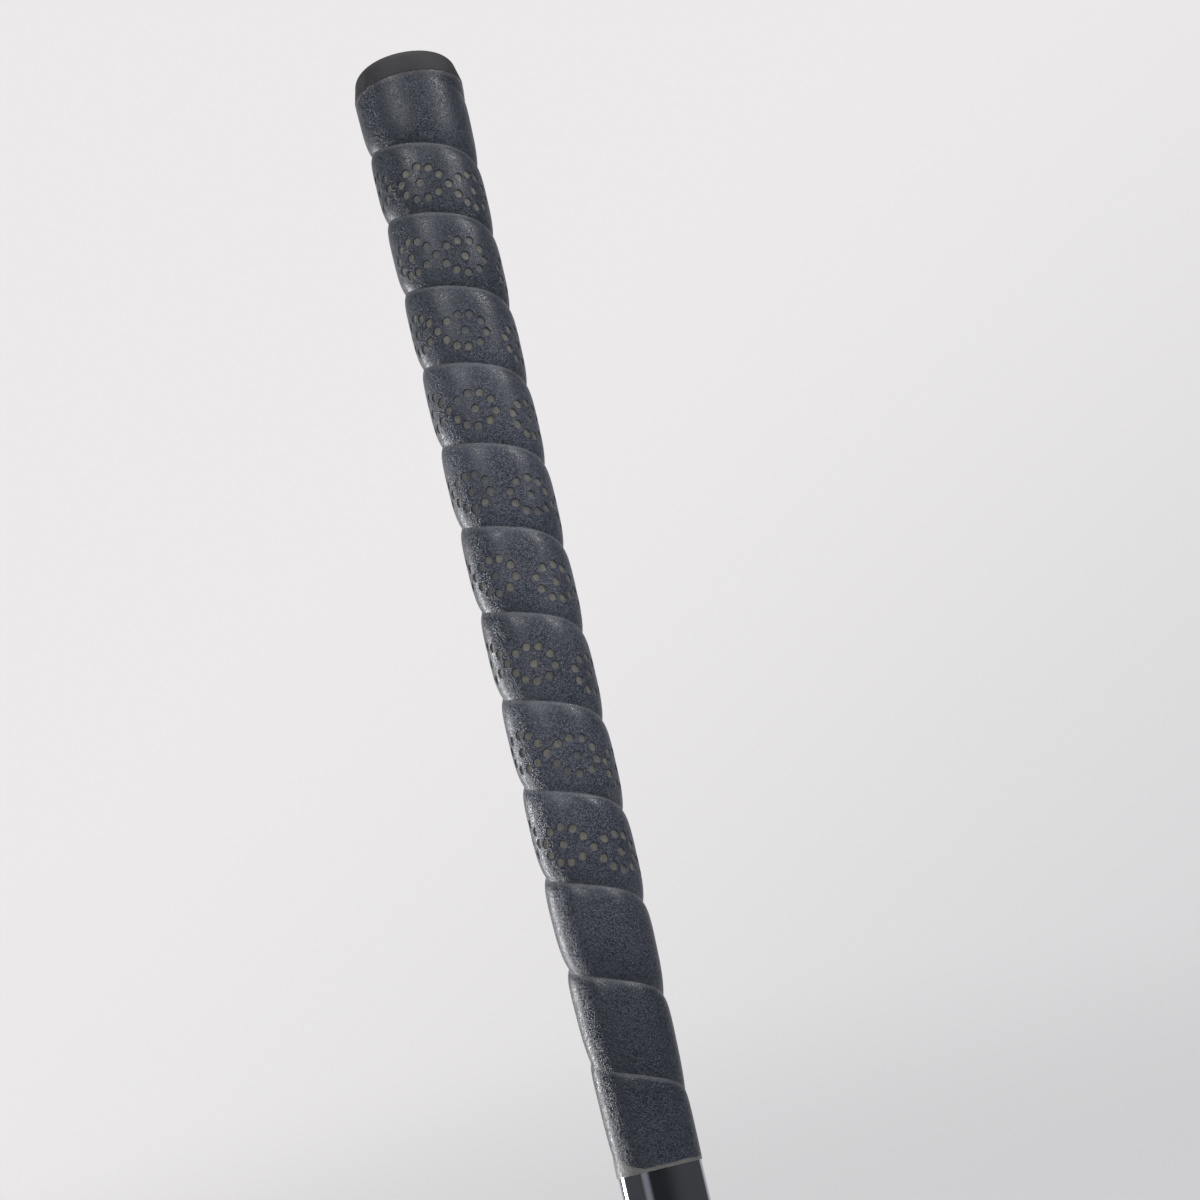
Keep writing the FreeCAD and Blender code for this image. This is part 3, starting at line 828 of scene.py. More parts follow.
@dataclass(frozen=True)
class GripRubber:
    """Blue-black moulded rubber with a fine leather grain, and painted glints, sheen and shade besides.

    The pale specks on the grain are partly painted glints. Under each seam runs a pale line that is partly
    rubbed wear and partly painted sheen, and above it a band of painted shade. Ramps of the seam's rub and
    sheen and of its shade run over shares of the strip's width, those of the first and the last seam over
    turns along it, and those of the painted shade that fades the haze and specks towards the mouth, of their
    fade towards the cap, of the joint and of the lip over millimetres above the mouth or the cap's seat.
    """

    base: Colour = (0.012, 0.016, 0.026)
    # Pale tone of the haze and of the grain's specks; the specks are partly painted glints.
    haze_and_glint_tone: Colour = (0.108, 0.119, 0.155)
    shade: Colour = (0.012, 0.014, 0.020)
    # Pale line under each seam: partly rubbed wear, partly painted sheen.
    rub_and_sheen: Colour = (0.17, 0.175, 0.18)
    dust: Colour = (0.125, 0.108, 0.112)
    lip: Colour = (0.120, 0.118, 0.112)
    grain: Noise = Noise(2050, detail=1.5, roughness=0.5, distortion=0.7)
    grain_middle: float = 0.5
    grain_depth: float = 0.045
    folds: Ramp = Ramp(0.09, 0, smooth=True)
    patches: Noise = Noise(75)
    haze: Ramp = Ramp(0.35, 0.7, 0.11, 0.21)
    grain_and_glints: Ramp = Ramp(0.3, 0.7, 0.36, 0.72)
    rough: Ramp = Ramp(0.3, 0.7, 0.27, 0.36)
    frays: Noise = Noise(420, detail=4)
    fray: Ramp = Ramp(0.3, 0.7, -0.012, 0.012)
    seam_rub_and_sheen: Ramp = Ramp(0.060, 0.015, smooth=True)
    rub_and_sheen_share: float = 0.30
    rubbed_rough: float = 0.1
    first_seam: Ramp = Ramp(-0.85, -0.6)
    seam_shade: Ramp = Ramp(0.90, 0.985, 0, 0.15, smooth=True)
    # The haze and specks fade out towards the mouth, which is painted shade, and fade towards the cap.
    mouth_shade: Ramp = Ramp(25, 65, 0.27, 1)
    cap_fade: Ramp = Ramp(-75, -22, 1, 0.45)
    joint: Ramp = Ramp(-1.3, -0.3, 0, 0.35, smooth=True)
    joint_fray: float = 0.02
    lip_edge: Ramp = Ramp(0.75, 0.45, 0, 0.92)
    lip_band: Ramp = Ramp(4.4, 3.4, 0, 0.92)
    lip_fray: float = 0.012
    last_seam: Ramp = Ramp(11.5, 11.52)

    def build(self) -> Material:
        """Lay out the material.

        Returns:
            The material.
        """
        mix = Recipe("grip_leather_rubber")
        where = mix.place()
        strip = mix.split(mix.add("UVMap", uv_map="strip").outputs["UV"])
        height = mix.split(AXIS.upright(mix))["Z"]
        folds = mix.math("ABSOLUTE", mix.math("SUBTRACT", mix.noise(where, self.grain), self.grain_middle))
        wrinkle = mix.remap(folds, self.folds)
        patch = mix.noise(where, self.patches)
        fray = mix.remap(mix.noise(where, self.frays), self.fray)
        across = mix.math("ADD", strip["Y"], fray)
        # Painted shade: the haze and specks fade out towards the mouth; they also fade towards the cap.
        shade_and_fade = mix.times(mix.remap(height, self.mouth_shade.above(AXIS.mouth)),
                          mix.remap(height, self.cap_fade.above(AXIS.cap_seat)))
        # Pale specks along the grain's folds: partly grain, partly painted glints.
        grain_and_glints = mix.times(wrinkle, mix.remap(patch, self.grain_and_glints))
        # Pale line under each seam, faded in below the cap: partly rubbed wear and partly painted sheen.
        rub_and_sheen = mix.times(mix.remap(across, self.seam_rub_and_sheen), mix.remap(strip["X"], self.first_seam))
        frayed = mix.math("ADD", height, mix.times(fray, self.joint_fray))
        tone: object = self.base
        # Blended in turn: pale haze, specks with painted glints, rub with painted sheen, joint dust, painted
        # shade above each seam, worn lip.
        for share, colour in ((mix.times(mix.remap(patch, self.haze), shade_and_fade), self.haze_and_glint_tone),
                              (mix.times(grain_and_glints, shade_and_fade), self.haze_and_glint_tone),
                              (mix.times(rub_and_sheen, self.rub_and_sheen_share), self.rub_and_sheen),
                              (mix.remap(frayed, self.joint.above(AXIS.cap_seat)), self.dust),
                              (mix.remap(across, self.seam_shade), self.shade),
                              (self.worn_lip(mix, strip["X"], height, fray), self.lip)):
            tone = mix.blend(share, tone, colour)
        rough = mix.math("ADD", mix.remap(patch, self.rough), mix.times(rub_and_sheen, self.rubbed_rough))
        mix.set(Base_Color=tone, Roughness=rough, Normal=mix.bump(wrinkle, self.grain_depth))
        return mix.material

    def worn_lip(self, mix: Recipe, along: Socket, height: Socket, fray: Socket) -> Socket:
        """Find the worn lip between the last seam and the mouth.

        Args:
            mix: The material's recipe.
            along: Turns along the strip.
            height: Height along the shaft in metres.
            fray: A small noise that breaks up its border.

        Returns:
            The lip's share.
        """
        frayed = mix.math("ADD", height, mix.times(fray, self.lip_fray))
        edge, band = (mix.remap(frayed, ramp.above(AXIS.mouth)) for ramp in (self.lip_edge, self.lip_band))
        return mix.math("MAXIMUM", edge, mix.times(band, mix.remap(along, self.last_seam)))


# Wrapped grip


@dataclass(frozen=True)
class WrapLaw:
    """Where the wound strip lies: one left-handed seam from the cap to the mouth.

    Stations and walls give the sleeve's wall along its length. Section and depths give the strip's
    pillowed section from one seam to the next. The first seam's turns and shares fade it in below the
    cap.
    """

    start: float = 21.3
    pitch: float = 16.54
    crowding: float = 3.7
    crowding_skew: float = 0.72
    bore_radius: float = 7.65
    seam_depth: Span = (0.70, 0.95)
    thinnest_share: float = 0.15
    first_seam_turns: tuple[float, ...] = (-0.95, -0.80, -0.62, -0.35)
    first_seam_shares: tuple[float, ...] = (0, 0.4, 0.4, 1)
    stations: tuple[float, ...] = (5.7, 22, 170.5, 205.5, 219.5)
    walls: tuple[float, ...] = (3.25, 2.8, 1.35, 0.4, 0.2)
    section: tuple[float, ...] = (0, 0.008, 0.02, 0.035, 0.055, 0.08, 0.12, 0.17, 0.24, 0.34, 0.60, 0.68,
                                  0.75, 0.82, 0.88, 0.93, 0.965, 0.982, 0.993, 1)
    depths: tuple[float, ...] = (1, 0.975, 0.88, 0.74, 0.57, 0.42, 0.26, 0.14, 0.05, 0, 0, 0.03,
                                 0.09, 0.21, 0.37, 0.57, 0.77, 0.90, 0.98, 1)

    @property
    def turns(self) -> float:
        """Turns from the seam's start to the mouth."""
        return (AXIS.grip_length - self.start) / self.pitch

    def seam(self, turn: np.ndarray) -> np.ndarray:
        """Place of the seam after some turns.

        Args:
            turn: Turns from the seam's start.

        Returns:
            Distance from the butt in millimetres.
        """
        share = turn / self.turns
        lean = 1 + self.crowding_skew * (1 - 2 * share)
        return self.start + self.pitch * turn - 4 * self.crowding * share * (1 - share) * lean

    def width(self, turn: np.ndarray) -> np.ndarray:
        """Width of the strip along the shaft, in millimetres."""
        return self.seam(turn + 1) - self.seam(turn)

    def wall(self, distance: np.ndarray) -> np.ndarray:
        """Thickness of the sleeve at a distance from the butt, without the relief."""
        return np.interp(distance, self.stations, self.walls)

    def outside(self, distance: np.ndarray) -> np.ndarray:
        """Radius of the sleeve's envelope at a distance from the butt."""
        return self.bore_radius + self.wall(distance)

    def wound(self, turn: np.ndarray, across: np.ndarray, sunk: np.ndarray) -> np.ndarray:
        """Wind flat points of the strip onto the tapered shaft.

        Args:
            turn: Turns along the strip.
            across: Share of its width, 0 at its upper seam and 1 at the lower one.
            sunk: Depth of a pressed mark in millimetres.

        Returns:
            Points in metres, upright about the shaft axis.
        """
        distance = self.seam(turn) + across * self.width(turn)
        wanted = np.interp(distance, (self.start, AXIS.grip_length), self.seam_depth)
        deepest = np.minimum(wanted, (1 - self.thinnest_share) * self.wall(distance))
        nearest_seam = turn + (across > 0.5)
        deepest *= np.interp(nearest_seam, self.first_seam_turns, self.first_seam_shares)
        radius = self.outside(distance) - deepest * np.interp(across, self.section, self.depths) - sunk
        angle = math.pi + 2 * math.pi * turn
        height = AXIS.club_length - distance
        return np.column_stack((radius * np.cos(angle), radius * np.sin(angle), height)) * MM


@dataclass(frozen=True)
class LoopBand:
    """Lying figure-eight loops of pressed dots along the strip, with a dot in each eye."""

    turns: tuple[float, ...] = (-0.285, 0.058, 0.41, 0.971, 1.33, 1.917, 2.284, 2.890, 3.248, 3.813,
                                4.181, 4.827, 5.203, 5.883, 6.267, 6.950, 7.310, 7.670, 8.029, 8.390)
    across: float = 0.587
    arm: tuple[Ring, ...] = ((2.0, 1.8), (4.1, 3.0), (6.4, 3.25), (8.7, 2.1))
    eye: float = 5.7
    tip: float = 9.8
    dot_radius: float = 0.9
    floor_radius: float = 0.77
    depth: float = 0.26
    dish: float = 0.05
    sides: int = 18

    def dots(self) -> list[Ring]:
        """Lay out the dots of one motif.

        Returns:
            Their places along and across the strip, in millimetres.
        """
        places: list[Ring] = [(0.0, 0.0)]
        for side in (-1, 1):
            places += [(side * self.eye, 0.0), (side * self.tip, 0.0)]
            places += [(side * along, up * rise) for along, rise in self.arm for up in (-1, 1)]
        return places


@dataclass(frozen=True)
class WrappedGrip:
    """The rubber sleeve: a strip pressed with dotted loops, wound on the tapered shaft."""

    law: WrapLaw = WrapLaw()
    loops: LoopBand = LoopBand()
    first_turn: float = -2.25
    columns_per_turn: int = 80
    rungs: tuple[float, ...] = (0, 0.008, 0.02, 0.035, 0.055, 0.08, 0.12, 0.17, 0.24, 0.32, 0.40, 0.48,
                                0.56, 0.64, 0.72, 0.79, 0.85, 0.90, 0.94, 0.965, 0.982, 0.993, 1)
    flat_size: Span = (65, 17)
    flat_tolerance: float = 1e-6
    clear_of_dot: float = 0.3
    top_bore: float = 7.9
    seam_weld: float = 0.002
    rim_reach: float = 0.01

    def on_strip(self, motif: float, along: float, across: float) -> tuple[float, float]:
        """Turn an offset in millimetres from a motif's crossing into turns and shares.

        Args:
            motif: The crossing's place in turns.
            along: Offset along the strip.
            across: Offset across it, towards the mouth.

        Returns:
            Turns along the strip and share of its width.
        """
        width = float(self.law.width(motif))
        distance = float(self.law.seam(motif)) + self.loops.across * width
        girth = 2 * math.pi * float(self.law.outside(distance))
        slope = math.atan2(width, girth)
        share = across / (width * math.cos(slope))
        turn = (along - across * math.tan(slope)) / math.hypot(girth, width)
        return motif + turn, self.loops.across + share

    def grid(self) -> np.ndarray:
        """Lay a plain grid over the whole strip.

        Returns:
            Turns and share of each point.
        """
        steps = round((math.ceil(self.law.turns) - self.first_turn) * self.columns_per_turn)
        columns = self.first_turn + np.arange(steps + 1) / self.columns_per_turn
        return np.array([(turn, share) for turn in columns for share in self.rungs])

    def dot_marks(self) -> tuple[np.ndarray, np.ndarray, list[tuple[int, int]]]:
        """Draw every dot flat, as a rim, a floor's edge and a middle.

        Returns:
            Turns and share of each point, the depth that it is pressed to, and the edges of the rings.
        """
        loops = self.loops
        angles = [2 * math.pi * side / loops.sides for side in range(loops.sides)]
        marks: list[tuple[float, float]] = []
        sunk: list[float] = []
        edges: list[tuple[int, int]] = []
        for motif in loops.turns:
            for along, across in loops.dots():
                for radius, depth in ((loops.dot_radius, 0.0), (loops.floor_radius, loops.depth)):
                    first = len(marks)
                    marks += [self.on_strip(motif, along + radius * math.cos(angle),
                                            across + radius * math.sin(angle)) for angle in angles]
                    sunk += [depth] * loops.sides
                    edges += [(first + side, first + (side + 1) % loops.sides)
                              for side in range(loops.sides)]
                marks.append(self.on_strip(motif, along, across))
                sunk.append(loops.depth + loops.dish)
        return np.array(marks), np.array(sunk), edges

    def flat_sheet(self) -> tuple[np.ndarray, np.ndarray, list[list[int]], np.ndarray]:
        """Draw the strip flat, with a ring of edges round every dot.

        Returns:
            Turns and share of each point, the depth that it is pressed to, the faces, and whether
            each face is a dot's painted floor.
        """
        loops, scale = self.loops, np.array(self.flat_size)
        marks, sunk, edges = self.dot_marks()
        centres = np.array([self.on_strip(motif, *dot) for motif in loops.turns for dot in loops.dots()])
        grid = self.grid()
        gaps = np.min(np.linalg.norm((grid[:, None, :] - centres[None, :, :]) * scale, axis=2), axis=1)
        border = (grid[:, 1] == 0) | (grid[:, 1] == 1)
        grid = grid[(gaps >= loops.dot_radius + self.clear_of_dot) | border]
        points = np.vstack((marks, grid))
        depth = np.concatenate((sunk, np.zeros(len(grid))))
        flat = [Vector(point) for point in points * scale]
        _, _, found, origin, _, _ = delaunay_2d_cdt(flat, edges, [], 0, self.flat_tolerance)
        source = [owners[0] for owners in origin]
        points, depth, faces = points[source], depth[source], [list(face) for face in found]
        middles = np.array([points[face].mean(axis=0) for face in faces])
        floor = np.subtract(self.on_strip(loops.turns[0], loops.floor_radius, 0),
                            self.on_strip(loops.turns[0], 0, 0))
        painted = np.zeros(len(faces), bool)
        for centre in centres:
            painted |= np.linalg.norm((middles - centre) * scale, axis=1) < math.hypot(*(floor * scale))
        return points, depth, faces, painted

    def build(self) -> Piece:
        """Wind the flat sheet into the sleeve and close its two ends against the shaft.

        Returns:
            The sleeve, on the shaft axis.
        """
        points, depth, faces, painted = self.flat_sheet()
        mesh = bpy.data.meshes.new("grip_wrap")
        mesh.from_pydata(self.law.wound(points[:, 0], points[:, 1], depth).tolist(), [], faces)
        mesh.update()
        corners = np.zeros(len(mesh.loops), np.int32)
        mesh.loops.foreach_get("vertex_index", corners)
        mesh.uv_layers.new(name="strip").data.foreach_set("uv", points[corners].astype(np.float32).ravel())
        for finish in (GripRubber(), LoopPaint()):
            mesh.materials.append(finish.build())
        mesh.polygons.foreach_set("material_index", painted.astype(np.int32))
        piece = bpy.data.objects.new("grip_wrap", mesh)
        bpy.context.scene.collection.objects.link(piece)
        only(piece)
        self.close_ends(piece)
        smooth(piece)
        return AXIS.seat(piece)

    def close_ends(self, piece: Piece) -> None:
        """Trim the sleeve at the cap's seat and the mouth, and join the two rims by the bore.

        Args:
            piece: The wound sleeve, upright.
        """
        top, mouth = AXIS.cap_seat * MM, AXIS.mouth * MM
        with editing(piece):
            weld(self.seam_weld * MM)
            trim(top, keep_above=False)
            trim(mouth, keep_above=True)
            for height, radius in ((top, self.top_bore), (mouth, self.law.bore_radius)):
                select_edges(piece, lambda edge: edge.is_boundary and all(
                    abs(vertex.co.z - height) < self.rim_reach * MM for vertex in edge.verts))
                extrude((0, 0, 0), edges_only=True)
                for vertex in bmesh.from_edit_mesh(piece.data).verts:
                    if vertex.select:
                        vertex.co.xy = vertex.co.xy.normalized() * radius * MM
                bmesh.update_edit_mesh(piece.data)
            select_edges(piece, lambda edge: edge.is_boundary)
            bpy.ops.mesh.bridge_edge_loops()
            bpy.ops.mesh.select_mode(type="VERT")
        face_out(piece)


@dataclass(frozen=True)
class ButtCap:
    """The moulded cap that plugs the sleeve's top: drawn-in side, rounded rim, low dome, vent."""

    radius: float = 10.87
    draw: float = 0.66
    dome_rise: float = 1.2
    dome_shares: tuple[float, ...] = (0.85, 0.65, 0.45, 0.3)
    rim: Round = Round(2.5, 12)
    rim_end: float = 86
    seat_round: tuple[Ring, ...] = ((0.18, 0), (0.03, 0.1), (0, 0.3))
    vent_radius: float = 1.0
    vent_round: float = 0.25
    vent_dip: float = 0.02
    plug_radius: float = 7.85
    plug_depth: float = 2.0
    plug_undercut: float = 0.2
    segments: int = 128

    def build(self) -> Piece:
        """Turn the cap and seat it on the shaft axis.

        Returns:
            The cap.
        """
        top, seat = AXIS.club_length, AXIS.cap_seat
        lean = math.degrees(math.atan2(self.draw, AXIS.cap_height - self.dome_rise))
        centre = (self.radius - self.draw - self.rim.radius, top - self.dome_rise - self.rim.radius)
        rings = [(self.plug_radius, seat - self.plug_depth), (self.plug_radius, seat - self.plug_undercut)]
        rings += [(self.radius - inward, seat + up) for inward, up in self.seat_round]
        rings += arc(centre, self.rim, lean, self.rim_end)
        rings += [(centre[0] * share, top - self.dome_rise * share ** 2) for share in self.dome_shares]
        rings += [(self.vent_radius + self.vent_round, top - self.vent_dip),
                  (self.vent_radius, top - self.vent_round), (self.vent_radius, seat - self.plug_depth)]
        piece = turned("butt_cap_shell", rings, self.segments)
        smooth(piece)
        return AXIS.seat(piece)


@dataclass(frozen=True)
class SteppedShaft:
    """The chromed steel tube, stepped down from butt to tip."""

    butt_radius: float = 7.62
    tip_radius: float = 4.7
    wall: float = 0.75
    shoulder: float = 56.085
    tip_chamfer: Ring = (0.12, 0.15)
    tip_parallel: float = 190
    butt_parallel: float = 250
    step_length: float = 45
    step_rise: float = 0.8
    step_profile: tuple[Ring, ...] = ((-0.2, 0), (0.1, 0.03), (0.5, 0.5), (0.9, 0.97), (1.2, 1))
    steps: int = 7
    top: float = 855.3
    segments: int = 96

    def build(self) -> Piece:
        """Turn the tube and seat it on the shaft axis.

        Returns:
            The shaft.
        """
        rise = (self.butt_radius - self.tip_radius) / self.steps
        inward, up = self.tip_chamfer
        rings: list[Ring] = [(self.tip_radius - inward, self.shoulder),
                             (self.tip_radius, self.shoulder + up)]
        for step in range(self.steps):
            foot = self.shoulder + self.tip_parallel + step * self.step_length
            radius = self.tip_radius + step * rise
            rings += [(radius + rise * lift, foot + self.step_rise * along)
                      for along, lift in self.step_profile]
        butt_bore, tip_bore = self.butt_radius - self.wall, self.tip_radius - self.wall
        rings += [(self.butt_radius, self.top), (butt_bore, self.top),
                  (butt_bore, self.top - self.butt_parallel),
                  (tip_bore, self.shoulder + self.tip_parallel), (tip_bore, self.shoulder)]
        piece = turned("shaft_tube", rings, self.segments)
        smooth(piece)
        return AXIS.seat(piece)


@dataclass(frozen=True)
class OffsetNeck:
    """The bent bar between shaft and blade, with a collar that the shaft's tip lands on."""

    radius: float = 5.0
    bend_radius: float = 11.0
    bend_steps: int = 14
    rise: float = 8.0
    top_run: float = 6.0
    collar_radius: float = 5.7
    collar_height: float = 3.5
    spigot_radius: float = 3.92
    spigot_length: float = 26.0
    edge_break: Round = Round(0.3, 3)
    segments: int = 64

    def build(self) -> Piece:
        """Spin the two bends, seat the bar on the axis and trim it flush with the topline.

        Returns:
            The neck.
        """
        offset = AXIS.neck_offset
        topline = AXIS.face_height / math.sin(math.radians(AXIS.lie))
        low = topline + self.rise
        bend = math.acos(1 - offset / (2 * self.bend_radius))
        high = low + 2 * self.bend_radius * math.sin(bend)
        collar_foot = high + self.top_run - self.collar_height
        start = topline - 2 * self.radius
        piece = circle("neck_bar", self.radius, (0, offset, start), self.segments, fill="NGON")
        with editing(piece):
            select_whole()
            extrude((0, 0, low - start))
            bends = ((-bend, offset - self.bend_radius, low), (bend, self.bend_radius, high))
            for angle, across, up in bends:
                bpy.ops.mesh.spin(steps=self.bend_steps, angle=angle, axis=(1, 0, 0),
                                  center=(0, across * MM, up * MM))
            height = high
            for run, share in ((collar_foot - high, 1), (0, self.collar_radius / self.radius),
                               (self.collar_height, 1), (0, self.spigot_radius / self.collar_radius),
                               (self.spigot_length, 1)):
                height += run
                extrude((0, 0, run))
                widen(share, height)
            weld()
        AXIS.seat(piece)
        with editing(piece):
            trim(AXIS.face_height * MM, keep_above=True, fill=True)
        face_out(piece)
        soften(piece, self.edge_break)
        return piece


@dataclass(frozen=True)
class BladeHead:
    """The heel and toe weighted blade: lofted face, stepped back, cavity, ports and sight groove."""

    length: float = 112
    bumper_height: float = 17.5
    tail_height: float = 12.5
    flange_height: float = 7
    back_corner: Round = Round(11, 16)
    top_corner: Round = Round(6, 12)
    edge_break: Round = Round(0.35, 3)
    edge_angle: float = 24
    cavity_length: float = 58
    cavity_corner: Round = Round(4, 10)
    cavity_floor: Round = Round(1.0, 4)
    clear_back: float = 10
    clear_top: float = 5
    near: float = 0.1
    beside: float = 1
    overrun: float = 2
    fit_gap: float = 0.03
    sight_width: float = 1.2
    sight_depth: float = 0.5
    sight_margin: float = 2
    slot_flat: float = 0.02
    slot_steps: int = 6
    paint_gap: float = 0.1
    paint_thickness: float = 0.15
    paint_break: Round = Round(0.05, 2)
    insert_length: float = 74
    insert_height: float = 12.5
    insert_corner: Round = Round(5, 14)
    insert_floor: float = 4.5
    insert_thickness: float = 3.6
    insert_break: Round = Round(0.06, 2)
    pocket_depth: float = 4.1
    grooves: int = 7
    groove_pitch: float = 1.3
    groove_width: float = 0.5
    groove_depth: float = 0.2
    groove_margin: float = 6
    groove_flat: float = 0.01
    groove_steps: int = 5
    weight_radius: float = 6
    weight_thickness: float = 5
    weight_recess: float = 0.2
    weight_inset: float = 16
    weight_chamfer: float = 0.5
    weight_break: Round = Round(0.1, 2)
    weight_bore: float = 0.6
    weight_sides: int = 96
    ring_groove: tuple[Ring, ...] = ((1.1, 0), (1.0, 0.1), (0.8, 0.1), (0.7, 0))
    socket_width: float = 4
    socket_depth: float = 2.6
    socket_sides: int = 6

    @property
    def topline_back(self) -> float:
        """Back edge of the topline along Y."""
        return AXIS.topline_front + AXIS.topline_width

    @property
    def back(self) -> float:
        """Back of the blade along Y."""
        return AXIS.head_depth / 2

    def face_matrix(self) -> Matrix:
        """Takes a piece drawn on an upright face at Y = 0 onto the lofted face."""
        turn = Matrix.Rotation(-math.radians(AXIS.face_loft), 4, "X")
        return Matrix.Translation((0, -self.back * MM, 0)) @ turn

    def weight_places(self) -> tuple[float, float]:
        """Where the two sole weights sit along X: heel, then toe."""
        place = self.length / 2 - self.weight_inset
        return place, -place

    def build_blade(self) -> Piece:
        """Extrude the side outline, round its corners and cut the cavity, pocket, ports and groove.

        Returns:
            The blade.
        """
        back, end, top = self.back, self.length / 2, AXIS.face_height
        side = [(-back, 0), (AXIS.topline_front, top), (self.topline_back, top),
                (self.topline_back, self.bumper_height), (back, self.tail_height), (back, 0)]
        piece = circle("blade_head", 1, (0, 0, 0), len(side), fill="NGON")
        with editing(piece) as mesh:
            mesh.verts.ensure_lookup_table()
            for vertex, (across, up) in zip(mesh.verts, side):
                vertex.co = Vector((-end, across, up)) * MM
            select_whole()
            extrude((self.length, 0, 0))
        face_out(piece)
        bevel_edges(piece, lambda middle, way: runs_along(way, Axis.Z) and middle.y > back - self.beside,
                    self.back_corner)
        bevel_edges(piece, lambda middle, way: runs_along(way, Axis.Y) and middle.z > top - self.near
                    and abs(middle.x) > end - self.near, self.top_corner)
        ports = [rod("port_cutter", self.weight_radius + self.fit_gap, -self.overrun,
                     self.weight_recess + self.weight_thickness, place, self.weight_sides)
                 for place in self.weight_places()]
        pocket = self.face_plate("pocket_cutter", -self.fit_gap, -self.overrun, self.pocket_depth)
        groove = self.sight_slot("groove_cutter", 0, self.flange_height + self.overrun)
        carve(piece, [self.cavity_cutter(), pocket, *ports, groove])
        soften(piece, self.edge_break, angle=self.edge_angle)
        return piece

    def cavity_cutter(self) -> Piece:
        """Shape the tool that cuts the cavity behind the face, with rounded corners and floor.

        Returns:
            The tool.
        """
        half, past = self.cavity_length / 2, self.back + self.clear_back
        cutter = block("cavity_cutter", (-half, self.topline_back, self.flange_height),
                       (half, past, AXIS.face_height + self.clear_top))
        bevel_edges(cutter, lambda middle, way: runs_along(way, Axis.Z) and middle.y < 0, self.cavity_corner)
        bevel_edges(cutter, lambda middle, way: middle.z < self.flange_height + self.near
                    and middle.y < past - self.beside, self.cavity_floor)
        return cutter

    def face_plate(self, name: str, margin: float, near: float, far: float) -> Piece:
        """Add a rounded plate let into the face.

        Args:
            name: The piece's name.
            margin: How far it is drawn in from the insert's outline.
            near: Depth behind the face where it starts.
            far: Depth where it ends.

        Returns:
            The plate, leaning with the face.
        """
        half, corner = self.insert_length / 2 - margin, self.insert_corner
        piece = rounded_block(name, (-half, near, self.insert_floor + margin),
                              (half, far, self.insert_floor + self.insert_height - margin), Axis.Y,
                              Round(corner.radius - margin, corner.steps))
        piece.data.transform(self.face_matrix())
        return piece

    def sight_slot(self, name: str, gap: float, top: float) -> Piece:
        """Add a bar with round ends in the sight groove's place.

        Args:
            name: The piece's name.
            gap: How far it stays inside the groove's outline.
            top: Height where it ends.

        Returns:
            The bar, standing on the groove's floor.
        """
        half, floor = self.sight_width / 2 - gap, self.flange_height - self.sight_depth
        return rounded_block(name, (-half, self.topline_back + self.sight_margin + gap, floor),
                             (half, self.back - self.sight_margin - gap, top), Axis.Z,
                             Round(half - self.slot_flat, self.slot_steps))

    def build_sight_line(self) -> Piece:
        """Lay the paint on the sight groove's floor.

        Returns:
            The paint.
        """
        floor = self.flange_height - self.sight_depth
        piece = self.sight_slot("sight_line_paint", self.paint_gap, floor + self.paint_thickness)
        soften(piece, self.paint_break)
        return piece

    def build_insert(self) -> Piece:
        """Cut the milled grooves into the insert.

        Returns:
            The insert.
        """
        piece = self.face_plate("insert_plate", 0, 0, self.insert_thickness)
        half, rim = self.insert_length / 2 - self.groove_margin, self.groove_width / 2
        cutters = []
        for number in range(self.grooves):
            offset = (number - (self.grooves - 1) / 2) * self.groove_pitch
            height = self.insert_floor + self.insert_height / 2 + offset
            bar = rounded_block("groove_cutter", (-half, -self.overrun, height - rim),
                                (half, self.groove_depth, height + rim), Axis.Y,
                                Round(rim - self.groove_flat, self.groove_steps))
            bar.data.transform(self.face_matrix())
            cutters.append(bar)
        carve(piece, cutters)
        soften(piece, self.insert_break)
        return piece

    def build_weight(self, name: str, place: float) -> Piece:
        """Turn a sole weight with a bevelled rim and cut its hexagon socket.

        Args:
            name: The piece's name.
            place: Its place along X.

        Returns:
            The weight in its port.
        """
        low, bore = self.weight_recess, self.weight_bore
        high, flat = low + self.weight_thickness, self.weight_radius - self.weight_chamfer
        rings = [(bore, low), *((flat - inward, low + deep) for inward, deep in self.ring_groove),
                 (flat, low), (self.weight_radius, low + self.weight_chamfer),
                 (self.weight_radius, high), (bore, high)]
        piece = turned(name, rings, self.weight_sides)
        with editing(piece) as mesh:
            for face in mesh.faces:
                face.select = all(vertex.co.xy.length < (bore + self.near) * MM for vertex in face.verts)
            mesh.select_flush(True)
            bmesh.update_edit_mesh(piece.data)
            bpy.ops.mesh.delete(type="FACE")
            select_whole()
            bpy.ops.mesh.fill_holes(sides=0)
        face_out(piece)
        piece.data.transform(Matrix.Translation((place * MM, 0, 0)))
        carve(piece, [rod("socket_cutter", self.socket_width / math.sqrt(3), -self.overrun,
                          low + self.socket_depth, place, self.socket_sides)])
        soften(piece, self.weight_break)
        return piece


# Studio


@dataclass(frozen=True)
class Softbox:
    """A rectangular soft light that hangs at a place and faces a target, in metres and watts."""

    name: str
    place: Point
    target: Point
    size: Span
    power: float

    def hang(self) -> None:
        """Add the light to the scene."""
        data = bpy.data.lights.new(self.name, "AREA")
        data.shape = "RECTANGLE"
        data.size, data.size_y = self.size
        data.energy = self.power
        light = bpy.data.objects.new(self.name, data)
        light.location = self.place
        light.rotation_euler = (Vector(self.target) - Vector(self.place)).to_track_quat("-Z", "Y").to_euler()
        bpy.context.scene.collection.objects.link(light)


@dataclass(frozen=True)
class Glow:
    """A part of the surroundings that lies one way.

    The ramp takes how far a ray points that way, as a cosine, to how much of it the ray shows.
    """

    way: Point
    ramp: Ramp


GRIP_MIDDLE: Point = (0.28, -0.01, 0.70)


